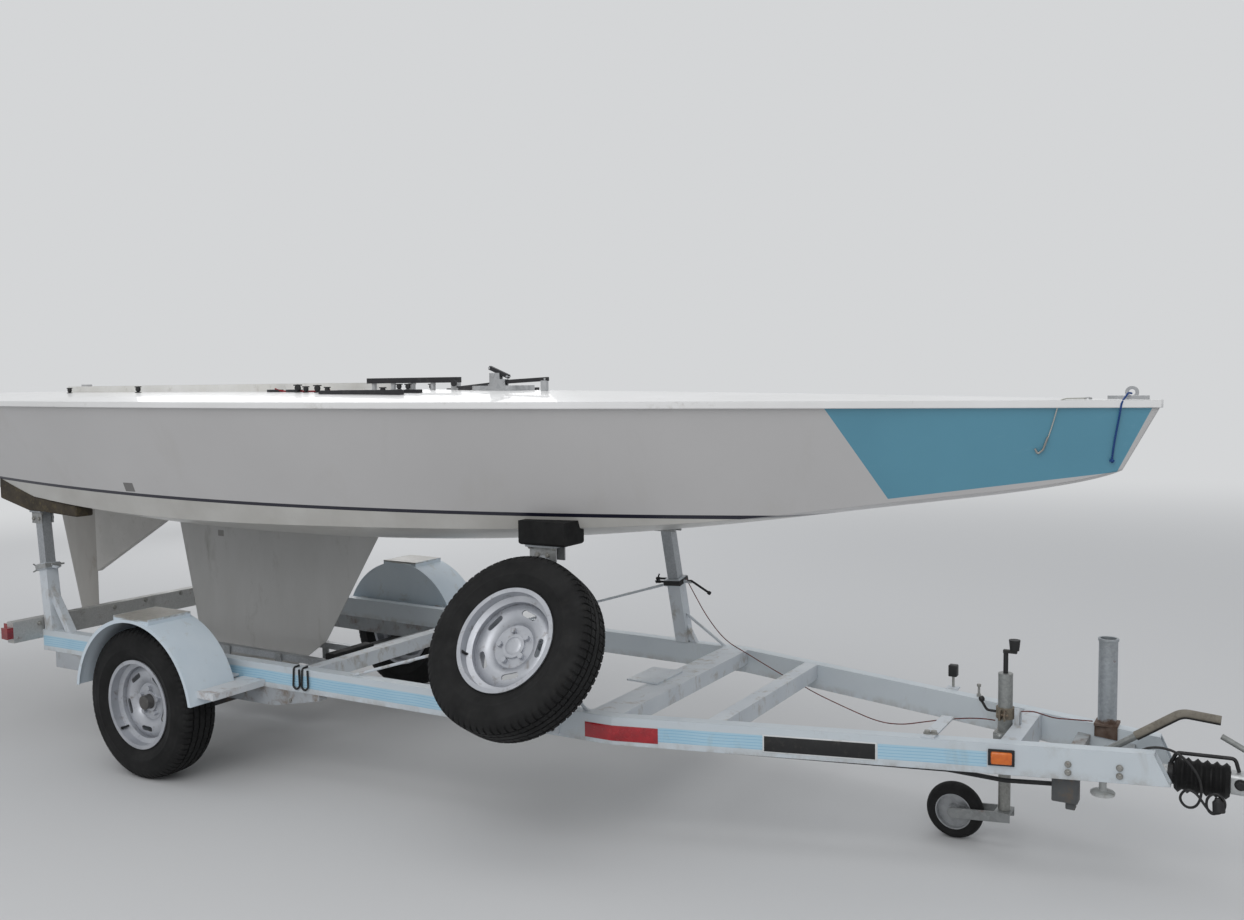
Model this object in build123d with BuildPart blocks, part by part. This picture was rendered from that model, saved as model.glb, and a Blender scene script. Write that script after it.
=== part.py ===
"""Racing keelboat with a fin keel, parked on its single-axle road trailer. Sizes in millimetres.

The model is drawn level on the trailer's frame: origin midway between the wheels at axle height,
+X to the bow, +Y to port, +Z up. At the end each piece is set down in the parked stance, nose slightly
low, with the tyres and the jockey wheel on the ground plane and the origin under the whole object's middle.
"""
from build123d import *
import math
import os

# Stance of the parked trailer
NOSE_DOWN = 1.3                  # degrees
SEAT_GAP = 0.3                   # clearance under a piece that rests on another

# Hull and deck
HULL_LENGTH = 6922.0
BOW_X = 3843.0
MAX_BEAM = 1734.0
CHINE_BEAM = 1376.0
HULL_BASE_Z = 668.0              # lowest point of the hull bottom
SHEER_RISE_BOW = 604.0           # deck edge above the hull base
SHEER_RISE_STERN = 634.0
STEM_RAKE = 105.0
STEM_FOOT_RISE = 380.0
STEM_HALF = 16.0
STEM_FOOT_HALF = 11.2
STERN_KEEL_RISE = 377.0
EDGE_HEIGHT = 24.0               # white band along the deck edge
EDGE_PROUD = 8.0
CAMBER = 42.0
COCKPIT_FRONT = 480.0
COCKPIT_REAR = -1400.0
COCKPIT_WIDTH = 620.0
COCKPIT_CORNER = 160.0
COCKPIT_SOLE = 78.1              # cockpit floor above the keel line under its aft end
COAMING_WALL = 14.0
COAMING_ABOVE = 30.0

# Fin keel with its bulb
FIN_ROOT_LE = 646.0
FIN_ROOT_TE = -870.0
FIN_KNEE_LE = 209.0              # where the straight leading edge ends
FIN_KNEE_TE = -722.0
FIN_KNEE_Z = 113.0
FIN_FOOT_LE = -40.0
FIN_FOOT_TE = -690.0
FIN_THICK = 62.0
FIN_IN_HULL = 100.0              # how far the fin's root is drawn above the hull base
FIN_IN_BULB = 20.0               # how far its foot is drawn above the bulb's axis
BULB_RADIUS = 72.0
BULB_Z = -78.0
BULB_NOSE = 70.0
BULB_TAIL = -790.0
BULB_NOSE_SHARE = 4.0            # length of the bulb's nose in radii
BULB_TAIL_SHARE = 3.0
BULB_WAIST = 0.8                 # radius where the tail starts, as a share of the bulb's radius
BULB_TIP = 0.1                   # radius of the tail's blunt end, as a share

# Skeg and rudder
SKEG_FRONT = -800.0
SKEG_BACK = -1548.0
SKEG_FOOT_Z = 323.0
SKEG_FRONT_Z = 718.0
SKEG_THICK = 30.0
RUDDER_GAP = 9.0
STOCK_X = -1590.0
STOCK_RADIUS = 14.0
STOCK_BORE = 14.3
BEARING_RADIUS = 32.0
RUDDER_TE_TOP = -1935.0
RUDDER_TE_FOOT = -1727.0
RUDDER_FOOT_LE = -1568.0
RUDDER_FOOT_Z = 90.0
RUDDER_THICK = 34.0
RUDDER_CLEAR = 24.0              # between the blade's top and the hull's keel line
STOCK_IN_BLADE = 40.0
STOCK_ABOVE = 8.0                # stock's shoulder above the deck's crown
STOCK_HEAD = 24.0

# Wheels
TYRE_RADIUS = 324.0
TYRE_WIDTH = 185.0
SHOULDER_DROP = 14.0             # tread shoulder below the tread's middle
SHOULDER_IN = 12.0               # and inside the tyre's full width
TREAD_IN = 32.0                  # flat of the tread inside the tyre's full width
BEAD_RISE = 4.0                  # tyre's bead above the edge of the rim's lip
RIM_RADIUS = 195.0               # edge of the steel rim's lips
BEAD_RADIUS = 180.0
BEAD_HALF = 72.0                 # half the width between the rim's lips
BELLY_RADIUS = 248.0             # where the tyre is widest
RIM_WALL = 4.0
RIM_WIDTH = 156.0
WELL_RADIUS = 160.0
WELL_OUTER = 31.0                # well's side towards the outside, from the wheel's middle
WELL_INNER = 19.0                # and towards the inside
WELL_SLOPE = 8.0                 # width of each slope out of the well
WELL_CORNER = 3.0                # how much later the inside of the well turns than its outside
LIP_DROP = 3.0
DISC_OFFSET = 2.0                # back of the wheel disc, outward of the wheel's middle
DISC_THICK = 6.0
DISC_SEAT = 78.0                 # radius of the flat seat that the nuts clamp
DISC_RIDGE = 106.0               # radius where the disc bulges outward most
RIDGE_HEIGHT = 20.0
SLOT_RADIUS = 117.0
SLOT_LENGTH = 68.0
SLOT_WIDTH = 21.0
SLOTS = 5
SEAT_RING = 44.0                 # radius of the raised ring round the hub's cap
RING_HEIGHT = 7.0
CAP_CLEAR = 2.0
WHEEL_Y = 822.0
STUD_RADIUS = 57.15
NUTS = 5
NUT_RADIUS = 11.0
NUT_HEIGHT = 16.0
HUB_RADIUS = 72.0
HUB_FLANGE = 12.0
HUB_BARREL = 36.0
HUB_LENGTH = 58.0
CAP_RADIUS = 30.0
CAP_LENGTH = 42.0
SPINDLE_RADIUS = 20.0
SPINDLE_FIT = 0.05

# Trailer frame
RAIL_TOP_Z = 180.0
RAIL_HEIGHT = 100.0
RAIL_WIDTH = 50.0
RAIL_WALL = 5.0
RAIL_REAR_X = -1003.0
RAIL_REAR_Y = 683.0
BEND_X = 2180.0
BEND_Y = 585.0
NOSE_X = 3905.0
NOSE_Y = 106.8
NOSE_SLANT = 48.0

# Cross-members between the side rails: name, rear face, length along X, depth
CROSS_MEMBERS = (
    ("keel_front", 690.0, 60.0, 60.0),
    ("wide", 2075.0, 120.0, 60.0),
    ("slim", 2490.0, 60.0, 60.0),
    ("jockey", 3415.0, 60.0, 90.0),
)

# Flat bar bolted on top of the starboard rail and reaching inward
FLAT_BAR_X = 3185.0
FLAT_BAR_LENGTH = 42.0
FLAT_BAR_THICK = 6.0
FLAT_BAR_END = 38.0              # how far from the middle it stops

# Rear lighting beam
BEAM_HALF = 830.0
BEAM_DEPTH = 50.0
BEAM_HEIGHT = 100.0
BEAM_ABOVE_RAIL = 60.0
BEAM_WALL = 4.0
LAMP_LENGTH = 130.0
LAMP_HEIGHT = 80.0
LAMP_THICK = 28.0
END_LAMP = 30.0

# Suspension
SUB_HEIGHT = 75.0
SUB_WIDTH = 44.0
SUB_REAR = -912.0
SUB_FRONT = 800.0
SUB_TAPER = 260.0
SUB_FRONT_HEIGHT = 25.0
TORSION_X = 120.0
TORSION_SIZE = 60.0
TORSION_INNER = 300.0
ARM_THICK = 24.0
ARM_HEIGHT = 56.0
ARM_CLEAR = 4.0                  # between the trailing arm and the rail's outside
SPINDLE_END = 8.0                # spindle beyond the back of the wheel disc

# Keel cradle
CRADLE_HALF = 150.0
CRADLE_BAR = 30.0
CRADLE_TOP = 66.0
CRADLE_FRONT = 330.0
CRADLE_REAR = -820.0
CRADLE_BEAM = 60.0               # length of each cross-beam along the trailer
CRADLE_LIFT = 6.0                # cross-beams' underside above the sub-frame's
TRAY_HALF = 105.0
TRAY_THICK = 8.0
TRAY_BACK = 40.0                 # tray's end ahead of the bulb's tail
TRAY_AHEAD = 30.0                # and ahead of its nose
STRAPS_X = (-680.0, -320.0, 40.0)
STRAP_WIDTH = 40.0
STOP_HALF = 130.0
STOP_HEIGHT = 30.0
STOP_ROUND = 8.0

# Fenders
FENDER_X = 30.0
FENDER_RADIUS = 380.0
FENDER_SKIN = 4.0
FENDER_OUTSIDE = 123.0           # fender's outer edge outside the wheel's middle
FENDER_INSIDE = 110.0            # and its inner side inside it
FENDER_FOOT_Z = 55.0
FENDER_SIDE_FOOT_Z = 95.0
FENDER_LIP = 16.0
TREAD_LENGTH = 230.0
TREAD_DEPTH = 24.0
TREAD_THICK = 5.0
TREAD_INSET = 12.0
BRACKETS_X = (-250.0, 290.0)
BRACKET_WIDTH = 50.0
BRACKET_Z = 110.0
BRACKET_THICK = 8.0
BRACKET_RISE = 60.0
STEP_LENGTH = 85.0
STEP_OUTSIDE = 83.0              # step's outer end outside the wheel's middle
STEP_Z = 84.0
STEP_THICK = 28.0

# Spare wheel, leaning over the starboard rail
SPARE_X = 1889.0
SPARE_Z = 428.0
SPARE_OUT = 153.0                # wheel's middle outside the rail
SPARE_LEAN = 32.5                # degrees, top inboard
CARRIER_WIDTH = 150.0
CARRIER_PLATE = 10.0
CARRIER_FOOT = 10.0              # plate's lower edge above the rail's
CARRIER_STUB = 60.0
CARRIER_DISC = 8.0

# Bunk posts: foot x, foot y, top x, top y, sleeve length, top z
REAR_POST = (-956.0, 652.0, -1075.0, 612.0, 325.0, 753.0)
MIDDLE_POST = (1870.0, 562.0, 1835.0, 462.0, 300.0, 752.0)
POST_OUTER = 60.0
POST_INNER = 50.0
POST_WALL = 4.5
COLLAR_LENGTH = 30.0
COLLAR_WALL = 8.0
SCREW_RADIUS = 7.0
SCREW_REACH = 40.0
TUBE_OVERLAP = 150.0
REAR_BRACE = (147.0, 215.0, 34.0)       # reach ahead of the post's foot, height on the sleeve, size
MIDDLE_BRACE = (60.0, 120.0, 26.0)
BRACE_SINK = 20.0                # how far braces and sleeves run on before they are cut at the rail
ROD_RADIUS = 6.0
FRONT_ROD = (203.0, 155.0)       # middle post's front rod: reach on the rail, height on the sleeve
REAR_ROD = (-920.0, 280.0)
HEAD_THICK = 8.0
REAR_HEAD_LENGTH = 90.0
REAR_HEAD_WIDTH = 80.0
MIDDLE_HEAD_LENGTH = 130.0
MIDDLE_HEAD_WIDTH = 104.0
BUNK_AHEAD = 340.0
BUNK_BEHIND = 280.0
BUNK_WIDTH = 90.0
BUNK_DROP = 14.0
BUNK_RISE = 52.0
BUNK_HEIGHT = 150.0              # of the board before the hull's shape is cut from it
PAD_AHEAD = 120.0
PAD_BEHIND = 85.0
PAD_WIDTH = 130.0
PAD_HEIGHT = 90.0
PAD_ROUND = 12.0

# Jockey wheel
JOCKEY_X = 3388.0
JOCKEY_TRAIL = 165.0
JOCKEY_RADIUS = 98.0
JOCKEY_WIDTH = 60.0
JOCKEY_HUB = 62.0
JOCKEY_TUBE = 24.0               # outside radius of the outer tube
JOCKEY_LEG = 20.0                # outside radius of the inner leg
JOCKEY_FIT = 0.3
JOCKEY_TUBE_FOOT = 20.0
JOCKEY_CAP = 10.0
JOCKEY_RAISE = 100.0             # how far the leg winds up from where it is parked
JOCKEY_LOWER = 80.0              # how far it winds down from there
JOCKEY_HELD = 135.0              # leg left in the tube when it is wound right down
JOCKEY_SPARE = 5.0               # left over the leg and over its spigot
JOCKEY_AXLE = 8.0
JOCKEY_TREAD = 54.0
JOCKEY_SHOULDER = 14.0
HUB_TUBE = 22.0
RIM_DISC = 8.0
CLAMP_Z = 100.0
CLAMP_HEIGHT = 50.0
CLAMP_HALF = 34.0
CLAMP_WALL = 8.0
CLAMP_ROD = 7.0
CLAMP_HANDLE = ((-62.0, 0.0), (-84.0, 30.0))      # bend and end of the clamp's handle: y, rise
CLAMP_BEND = 18.0
CLAMP_KNOB = 11.0
CRANK_ROD = 8.0
CRANK_THICK = 10.0
CRANK_RISE = 70.0
CRANK_THROW = 28.0
GRIP_RADIUS = 15.0
GRIP_LENGTH = 36.0
GRIP_TAPER = 6.0
SPIGOT_RADIUS = 15.0
SPIGOT_LENGTH = 60.0
FORK_GAP = 4.0
FORK_PLATE = 6.0
FORK_HEAD = 26.0
FORK_HALF_HEIGHT = 30.0
FORK_END = 18.0                  # radius of the fork's ends round the axle

# Coupling and nose
DRAWBAR_RADIUS = 25.0
DRAWBAR_REAR = 3560.0
COUPLING_Z = 92.0
MOUNTS_X = (3600.0, 3745.0)
MOUNT_LENGTH = 40.0
MOUNT_FOOT = 65.0
MOUNT_DEPTH = 75.0
GAITER_REAR = 3905.0
GAITER_FRONT = 4065.0
GAITER_RADIUS = 56.0
GAITER_DEPTH = 10.0
GAITER_FOLDS = 6
VALLEY = 0.1                     # half width of a fold's valley, as a share of its pitch
HEAD_FRONT = 4235.0
HEAD_WIDTH = 64.0
HEAD_ROUND = 12.0
BALL_RADIUS = 25.0
BALL_FIT = 0.4
BALL_X = 4185.0
BALL_Z = 74.0
LUG_HALF = 12.0
LUG_HEIGHT = 28.0
LUG_SINK = 3.0                   # lug's foot below what it is welded to
LUG_CHEEK = 6.0                  # lug's width beyond the lever on each side
COUPLING_LEVER_X = 4140.0
COUPLING_LEVER = ((4115.0, 190.0), (4036.0, 231.0))      # bends and end of the lever: x, z
COUPLING_LEVER_BEND = 25.0
COUPLING_LEVER_RADIUS = 9.0
BRAKE_LEVER_X = 3715.0
BRAKE_LEVER = ((3925.0, 288.0), (4031.0, 280.0))
BRAKE_LEVER_BEND = 60.0
BRAKE_LEVER_RADIUS = 11.0
MAST_POST_X = 3690.0
MAST_POST_RADIUS = 30.0
MAST_POST_WALL = 4.0
MAST_POST_HEIGHT = 285.0
MAST_RING_HEIGHT = 8.0
MAST_RING_PROUD = 3.0
SADDLE_LENGTH = 74.0
SADDLE_HALF = 37.0
SADDLE_THICK = 8.0
SADDLE_SIDE = 6.0
SADDLE_FOOT = 60.0               # side plate's lower edge above the rail's

# Deck gear
MAST_X = 1300.0
MAST_HOLE_LENGTH = 190.0
MAST_HOLE_WIDTH = 130.0
MAST_HOLE_ROUND = 30.0
MAST_STEP_Z = 740.0
COLLAR_RIM = 30.0
COLLAR_ABOVE = 14.0
BAR_REAR = 530.0
BAR_FRONT = 1060.0
BAR_WIDTH = 32.0
BAR_HEIGHT = 24.0
BAR_CLEAR = 26.0
BAR_POSTS = 5
BAR_POST_HALF = 8.0
TRACKS_Y = (360.0, 470.0)
TRACK_REAR = 700.0
TRACK_FRONT = 1150.0
TRACK_WIDTH = 24.0
BOW_PLATE = 24.0
BOW_PLATE_ABOVE = 14.0
BOW_PLATE_REAR = 150.0           # plate's ends behind the bow
BOW_PLATE_FRONT = 30.0
BOW_PLATE_SINK = 5.0
EYE_X = 3763.0
EYE_RADIUS = 20.0
EYE_HOLE = 10.0
EYE_THICK = 8.0

# How far a cut runs past the faces it must clear, and a trimming block past the piece it trims
OVERRUN = 10.0
CUT_REACH = 200.0

STERN_X = BOW_X - HULL_LENGTH
SHEER_SLOPE = (SHEER_RISE_BOW - SHEER_RISE_STERN) / HULL_LENGTH
RAIL_FOOT = RAIL_TOP_Z - RAIL_HEIGHT
FENDER_OUTER = WHEEL_Y + FENDER_OUTSIDE
FENDER_INNER = WHEEL_Y - FENDER_INSIDE
TIP = math.radians(NOSE_DOWN)
STERN_END = STERN_X * math.cos(TIP) + (HULL_BASE_Z + STERN_KEEL_RISE) * math.sin(TIP)
HEAD_END = HEAD_FRONT * math.cos(TIP) + (COUPLING_Z + HEAD_WIDTH / 2) * math.sin(TIP)
MIDDLE_AHEAD = (STERN_END + HEAD_END) / 2
SPARE_RAIL_Y = RAIL_REAR_Y + (BEND_Y - RAIL_REAR_Y) * (SPARE_X - RAIL_REAR_X) / (BEND_X - RAIL_REAR_X)
SPARE_REACH = SPARE_RAIL_Y + SPARE_OUT + (TYRE_RADIUS - SHOULDER_DROP) * math.sin(math.radians(SPARE_LEAN))
SPARE_REACH = SPARE_REACH + (TYRE_WIDTH / 2 - SHOULDER_IN) * math.cos(math.radians(SPARE_LEAN))
MIDDLE_OUT = (SPARE_REACH - FENDER_OUTER) / 2
STANCE = Location((-MIDDLE_AHEAD, MIDDLE_OUT, TYRE_RADIUS), (0, NOSE_DOWN, 0))

# Hull stations: share of length aft of the bow, share of half beam, share of half chine beam,
# chine rise and keel rise above the hull base
STATIONS = (
    (0.041, 0.133, 0.070, 337.0, 326.0),
    (0.107, 0.317, 0.218, 270.0, 249.0),
    (0.194, 0.536, 0.436, 188.0, 157.0),
    (0.295, 0.750, 0.661, 137.0, 68.0),
    (0.425, 0.929, 0.887, 114.0, 5.0),
    (0.555, 0.999, 0.996, 108.0, 0.0),
    (0.700, 0.960, 0.959, 151.0, 62.0),
    (0.844, 0.813, 0.814, 245.0, 187.0),
    (1.000, 0.554, 0.574, 407.0, STERN_KEEL_RISE),
)


def finish(piece, name):
    """Sets a finished piece down in the parked stance and writes it."""
    placed = piece.part.moved(STANCE)
    placed.label = name
    export_step(placed, f"parts/{name}.step")


def block(x_range, y_range, z_range, mode=Mode.ADD):
    """Adds a box given by its extents."""
    spans = (x_range, y_range, z_range)
    with Locations([tuple((low + high) / 2 for low, high in spans)]):
        Box(*(high - low for low, high in spans), mode=mode)


def both_sides(x_range, y_range, z_range):
    """Adds a box on the port side and its mirror image to starboard."""
    low, high = y_range
    block(x_range, (low, high), z_range)
    block(x_range, (-high, -low), z_range)


def cross_plane(x):
    """Plane across the boat at x, with local x to port and local y up."""
    return Plane(origin=(x, 0, 0), x_dir=(0, 1, 0), z_dir=(1, 0, 0))


def sheer_z(x):
    """Height of the deck edge."""
    return HULL_BASE_Z + SHEER_RISE_STERN + SHEER_SLOPE * (x - STERN_X)


def crown_z(x):
    """Height of the deck's middle."""
    return sheer_z(x) + CAMBER


def keel_z(x):
    """Height of the hull's keel line, straight between the stations."""
    for ahead, behind in zip(STATIONS, STATIONS[1:]):
        if x >= BOW_X - HULL_LENGTH * behind[0]:
            break
    share = ((BOW_X - x) / HULL_LENGTH - ahead[0]) / (behind[0] - ahead[0])
    return HULL_BASE_Z + ahead[4] + (behind[4] - ahead[4]) * share


def hull_section(chine_half, chine_z, top_half, top_z, middle_z):
    """One section of the hull: flat top, straight flared sides and a bottom that is an arc."""
    with BuildSketch() as section:
        with BuildLine():
            Line((chine_half, chine_z), (top_half, top_z))
            Line((top_half, top_z), (-top_half, top_z))
            Line((-top_half, top_z), (-chine_half, chine_z))
            ThreePointArc((-chine_half, chine_z), (0, middle_z), (chine_half, chine_z))
        make_face()
    return section.sketch


def rail_y(x):
    """Outside face of a side rail."""
    if x <= BEND_X:
        return RAIL_REAR_Y + (BEND_Y - RAIL_REAR_Y) * (x - RAIL_REAR_X) / (BEND_X - RAIL_REAR_X)
    return BEND_Y + (NOSE_Y - BEND_Y) * (x - BEND_X) / (NOSE_X - BEND_X)


def slant(start, finish_point, distance):
    """Point at a distance from the start of a slanted post."""
    run = Vector(*finish_point) - Vector(*start)
    return Vector(*start) + run.normalized() * distance


def post_plane(foot, top, distance=0.0):
    """Plane square to a slanted post."""
    run = Vector(*top) - Vector(*foot)
    return Plane(origin=slant(foot, top, distance), x_dir=(1, 0, -run.X / run.Z), z_dir=run)


def lens(front, back, thick):
    """Pointed oval section lying in the XY plane, from its front edge to its back edge."""
    middle = (front + back) / 2
    with BuildSketch() as section:
        with BuildLine():
            ThreePointArc((front, 0), (middle, thick / 2), (back, 0))
            ThreePointArc((back, 0), (middle, -thick / 2), (front, 0))
        make_face()
    return section.sketch


def rail_strip(rear, front, width, outside=0.0):
    """Plan of a strip that follows the port side rail's outside face."""
    corners = [rear, front]
    if rear < BEND_X < front:
        corners.insert(1, BEND_X)
    outer = [(x, rail_y(x) - outside) for x in corners]
    inner = [(x, rail_y(x) - outside - width) for x in reversed(corners)]
    with BuildSketch() as plan:
        with BuildLine():
            Polyline(*outer, *inner, close=True)
        make_face()
    return plan.sketch


def bay_plan(rear, length, inset):
    """Plan of a member that spans between the rails, butted to faces inset from their outsides."""
    front = rear + length
    with BuildSketch() as plan:
        with BuildLine():
            Polyline(
                (rear, rail_y(rear) - inset), (front, rail_y(front) - inset),
                (front, inset - rail_y(front)), (rear, inset - rail_y(rear)), close=True,
            )
        make_face()
    return plan.sketch


def bunk_post(post):
    """End points of a bunk post's axis and its sleeve length."""
    foot_x, foot_y, top_x, top_y, sleeve, top_z = post
    return (foot_x, foot_y, RAIL_TOP_Z), (top_x, top_y, top_z), sleeve


STEM_TOP = sheer_z(BOW_X) - EDGE_HEIGHT
STEM_FOOT = HULL_BASE_Z + STEM_FOOT_RISE
STEM_PLANE = Plane(
    origin=(BOW_X - STEM_RAKE, 0, STEM_FOOT), x_dir=(0, 1, 0), z_dir=(STEM_TOP - STEM_FOOT, 0, -STEM_RAKE)
)
COCKPIT_LENGTH = COCKPIT_FRONT - COCKPIT_REAR
COCKPIT_MIDDLE = (COCKPIT_FRONT + COCKPIT_REAR) / 2
COCKPIT_FLOOR = keel_z(COCKPIT_REAR) + COCKPIT_SOLE
DECK_TOP = sheer_z(COCKPIT_FRONT) + CAMBER
ABOVE_ALL = DECK_TOP + CUT_REACH
RUDDER_TOP_FRONT_Z = keel_z(SKEG_BACK) - RUDDER_CLEAR
RUDDER_TOP_BACK_Z = keel_z(RUDDER_TE_TOP) - RUDDER_CLEAR

os.makedirs("parts", exist_ok=True)

# Hull, solid under the deck, with the cockpit well and the rudder tube cut in
with BuildPart() as hull:
    with BuildSketch(STEM_PLANE):
        stem_length = math.hypot(STEM_RAKE, STEM_TOP - STEM_FOOT)
        add(hull_section(STEM_FOOT_HALF, STEM_HALF, STEM_HALF, stem_length, 0))
    for share, beam_share, chine_share, chine_rise, keel_rise in STATIONS:
        x = BOW_X - HULL_LENGTH * share
        chine_half = CHINE_BEAM / 2 * chine_share
        chine_z = HULL_BASE_Z + chine_rise
        top_z = sheer_z(x) - EDGE_HEIGHT
        flare = (MAX_BEAM / 2 * beam_share - chine_half) / (sheer_z(x) - chine_z)
        top_half = chine_half + flare * (top_z - chine_z)
        with BuildSketch(cross_plane(x)):
            add(hull_section(chine_half, chine_z, top_half, top_z, HULL_BASE_Z + keel_rise))
    loft()
    with BuildSketch(Plane.XY.offset(COCKPIT_FLOOR)):
        with Locations((COCKPIT_MIDDLE, 0)):
            RectangleRounded(
                COCKPIT_LENGTH - 2 * COAMING_WALL, COCKPIT_WIDTH - 2 * COAMING_WALL,
                COCKPIT_CORNER - COAMING_WALL,
            )
    extrude(amount=ABOVE_ALL - COCKPIT_FLOOR, mode=Mode.SUBTRACT)
    with BuildSketch(Plane.XY.offset(HULL_BASE_Z)):
        with Locations((STOCK_X, 0)):
            Circle(STOCK_BORE)
    extrude(amount=ABOVE_ALL - HULL_BASE_Z, mode=Mode.SUBTRACT)
    with BuildSketch(Plane.XY.offset(MAST_STEP_Z)):
        with Locations((MAST_X, 0)):
            RectangleRounded(MAST_HOLE_LENGTH, MAST_HOLE_WIDTH, MAST_HOLE_ROUND)
    extrude(amount=ABOVE_ALL - MAST_STEP_Z, mode=Mode.SUBTRACT)
finish(hull, "hull")

# Cambered deck with the white band along its edge
with BuildPart() as deck:
    edges = [(BOW_X + EDGE_PROUD, STEM_HALF + EDGE_PROUD, 0.02)]
    for share, beam_share, *rest in STATIONS:
        edges.append((BOW_X - HULL_LENGTH * share, MAX_BEAM / 2 * beam_share + EDGE_PROUD, beam_share))
    for x, half, camber_share in edges:
        edge_z = sheer_z(x)
        crown = edge_z + CAMBER * camber_share
        with BuildSketch(cross_plane(x)):
            with BuildLine():
                Line((half, edge_z - EDGE_HEIGHT), (half, edge_z))
                ThreePointArc((half, edge_z), (0, crown), (-half, edge_z))
                Line((-half, edge_z), (-half, edge_z - EDGE_HEIGHT))
                Line((-half, edge_z - EDGE_HEIGHT), (half, edge_z - EDGE_HEIGHT))
            make_face()
    loft()
    with BuildSketch(Plane.XY.offset(HULL_BASE_Z)):
        with Locations((COCKPIT_MIDDLE, 0)):
            RectangleRounded(COCKPIT_LENGTH, COCKPIT_WIDTH, COCKPIT_CORNER)
        with Locations((STOCK_X, 0)):
            Circle(STOCK_BORE)
        with Locations((MAST_X, 0)):
            RectangleRounded(MAST_HOLE_LENGTH, MAST_HOLE_WIDTH, MAST_HOLE_ROUND)
    extrude(amount=ABOVE_ALL - HULL_BASE_Z, mode=Mode.SUBTRACT)
finish(deck, "deck")

# Coaming that lines the cockpit opening and stands on the hull
with BuildPart() as coaming:
    with BuildSketch(Plane.XY.offset(COCKPIT_FLOOR)):
        with Locations((COCKPIT_MIDDLE, 0)):
            RectangleRounded(COCKPIT_LENGTH, COCKPIT_WIDTH, COCKPIT_CORNER)
            RectangleRounded(
                COCKPIT_LENGTH - 2 * COAMING_WALL, COCKPIT_WIDTH - 2 * COAMING_WALL,
                COCKPIT_CORNER - COAMING_WALL, mode=Mode.SUBTRACT,
            )
    extrude(amount=DECK_TOP + COAMING_ABOVE - COCKPIT_FLOOR)
    add(hull.part, mode=Mode.SUBTRACT)
finish(coaming, "cockpit_coaming")

# Keel bulb, a body of revolution
with BuildPart() as bulb:
    with BuildSketch(Plane.XZ):
        with BuildLine():
            shoulder = BULB_NOSE - BULB_NOSE_SHARE * BULB_RADIUS
            waist = BULB_TAIL + BULB_TAIL_SHARE * BULB_RADIUS
            waist_top = BULB_Z + BULB_WAIST * BULB_RADIUS
            EllipticalCenterArc(
                (shoulder, BULB_Z), BULB_NOSE - shoulder, BULB_RADIUS, start_angle=0, arc_size=90
            )
            Line((shoulder, BULB_Z + BULB_RADIUS), (waist, waist_top))
            Line((waist, waist_top), (BULB_TAIL, BULB_Z + BULB_TIP * BULB_RADIUS))
            Line((BULB_TAIL, BULB_Z + BULB_TIP * BULB_RADIUS), (BULB_TAIL, BULB_Z))
            Line((BULB_TAIL, BULB_Z), (BULB_NOSE, BULB_Z))
        make_face()
    revolve(axis=Axis((0, 0, BULB_Z), (1, 0, 0)))
finish(bulb, "keel_bulb")

# Cast fin, a straight swept blade whose leading edge curves aft above the bulb
with BuildPart() as fin:
    root_z = HULL_BASE_Z + FIN_IN_HULL
    for upper, lower in (
        ((root_z, FIN_ROOT_LE, FIN_ROOT_TE), (FIN_KNEE_Z, FIN_KNEE_LE, FIN_KNEE_TE)),
        ((FIN_KNEE_Z, FIN_KNEE_LE, FIN_KNEE_TE), (BULB_Z + FIN_IN_BULB, FIN_FOOT_LE, FIN_FOOT_TE)),
    ):
        for z, front, back in (upper, lower):
            with BuildSketch(Plane.XY.offset(z)):
                add(lens(front, back, FIN_THICK))
        loft()
    add(hull.part, mode=Mode.SUBTRACT)
    add(bulb.part, mode=Mode.SUBTRACT)
finish(fin, "keel_fin")

# Skeg ahead of the rudder
with BuildPart() as skeg:
    with BuildSketch(Plane.XZ):
        with BuildLine():
            Polyline(
                (SKEG_FRONT, SKEG_FRONT_Z), (SKEG_FRONT, COCKPIT_FLOOR - OVERRUN),
                (SKEG_BACK, COCKPIT_FLOOR - OVERRUN), (SKEG_BACK, SKEG_FOOT_Z), close=True,
            )
        make_face()
    extrude(amount=SKEG_THICK / 2, both=True)
    add(hull.part, mode=Mode.SUBTRACT)
    add(fin.part, mode=Mode.SUBTRACT)
finish(skeg, "skeg")

# Rudder blade, turning on the stock behind the skeg
with BuildPart() as rudder_blade:
    for z, front, back in (
        (RUDDER_TOP_BACK_Z + OVERRUN, SKEG_BACK - RUDDER_GAP, RUDDER_TE_TOP),
        (RUDDER_FOOT_Z, RUDDER_FOOT_LE, RUDDER_TE_FOOT),
    ):
        with BuildSketch(Plane.XY.offset(z)):
            add(lens(front, back, RUDDER_THICK))
    loft()
    with BuildSketch(Plane.XZ):
        with BuildLine():
            Polyline(
                (SKEG_BACK, RUDDER_TOP_FRONT_Z), (RUDDER_TE_TOP, RUDDER_TOP_BACK_Z),
                (RUDDER_TE_TOP, ABOVE_ALL), (SKEG_BACK, ABOVE_ALL), close=True,
            )
        make_face()
    extrude(amount=RUDDER_THICK, both=True, mode=Mode.SUBTRACT)
finish(rudder_blade, "rudder_blade")

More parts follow.
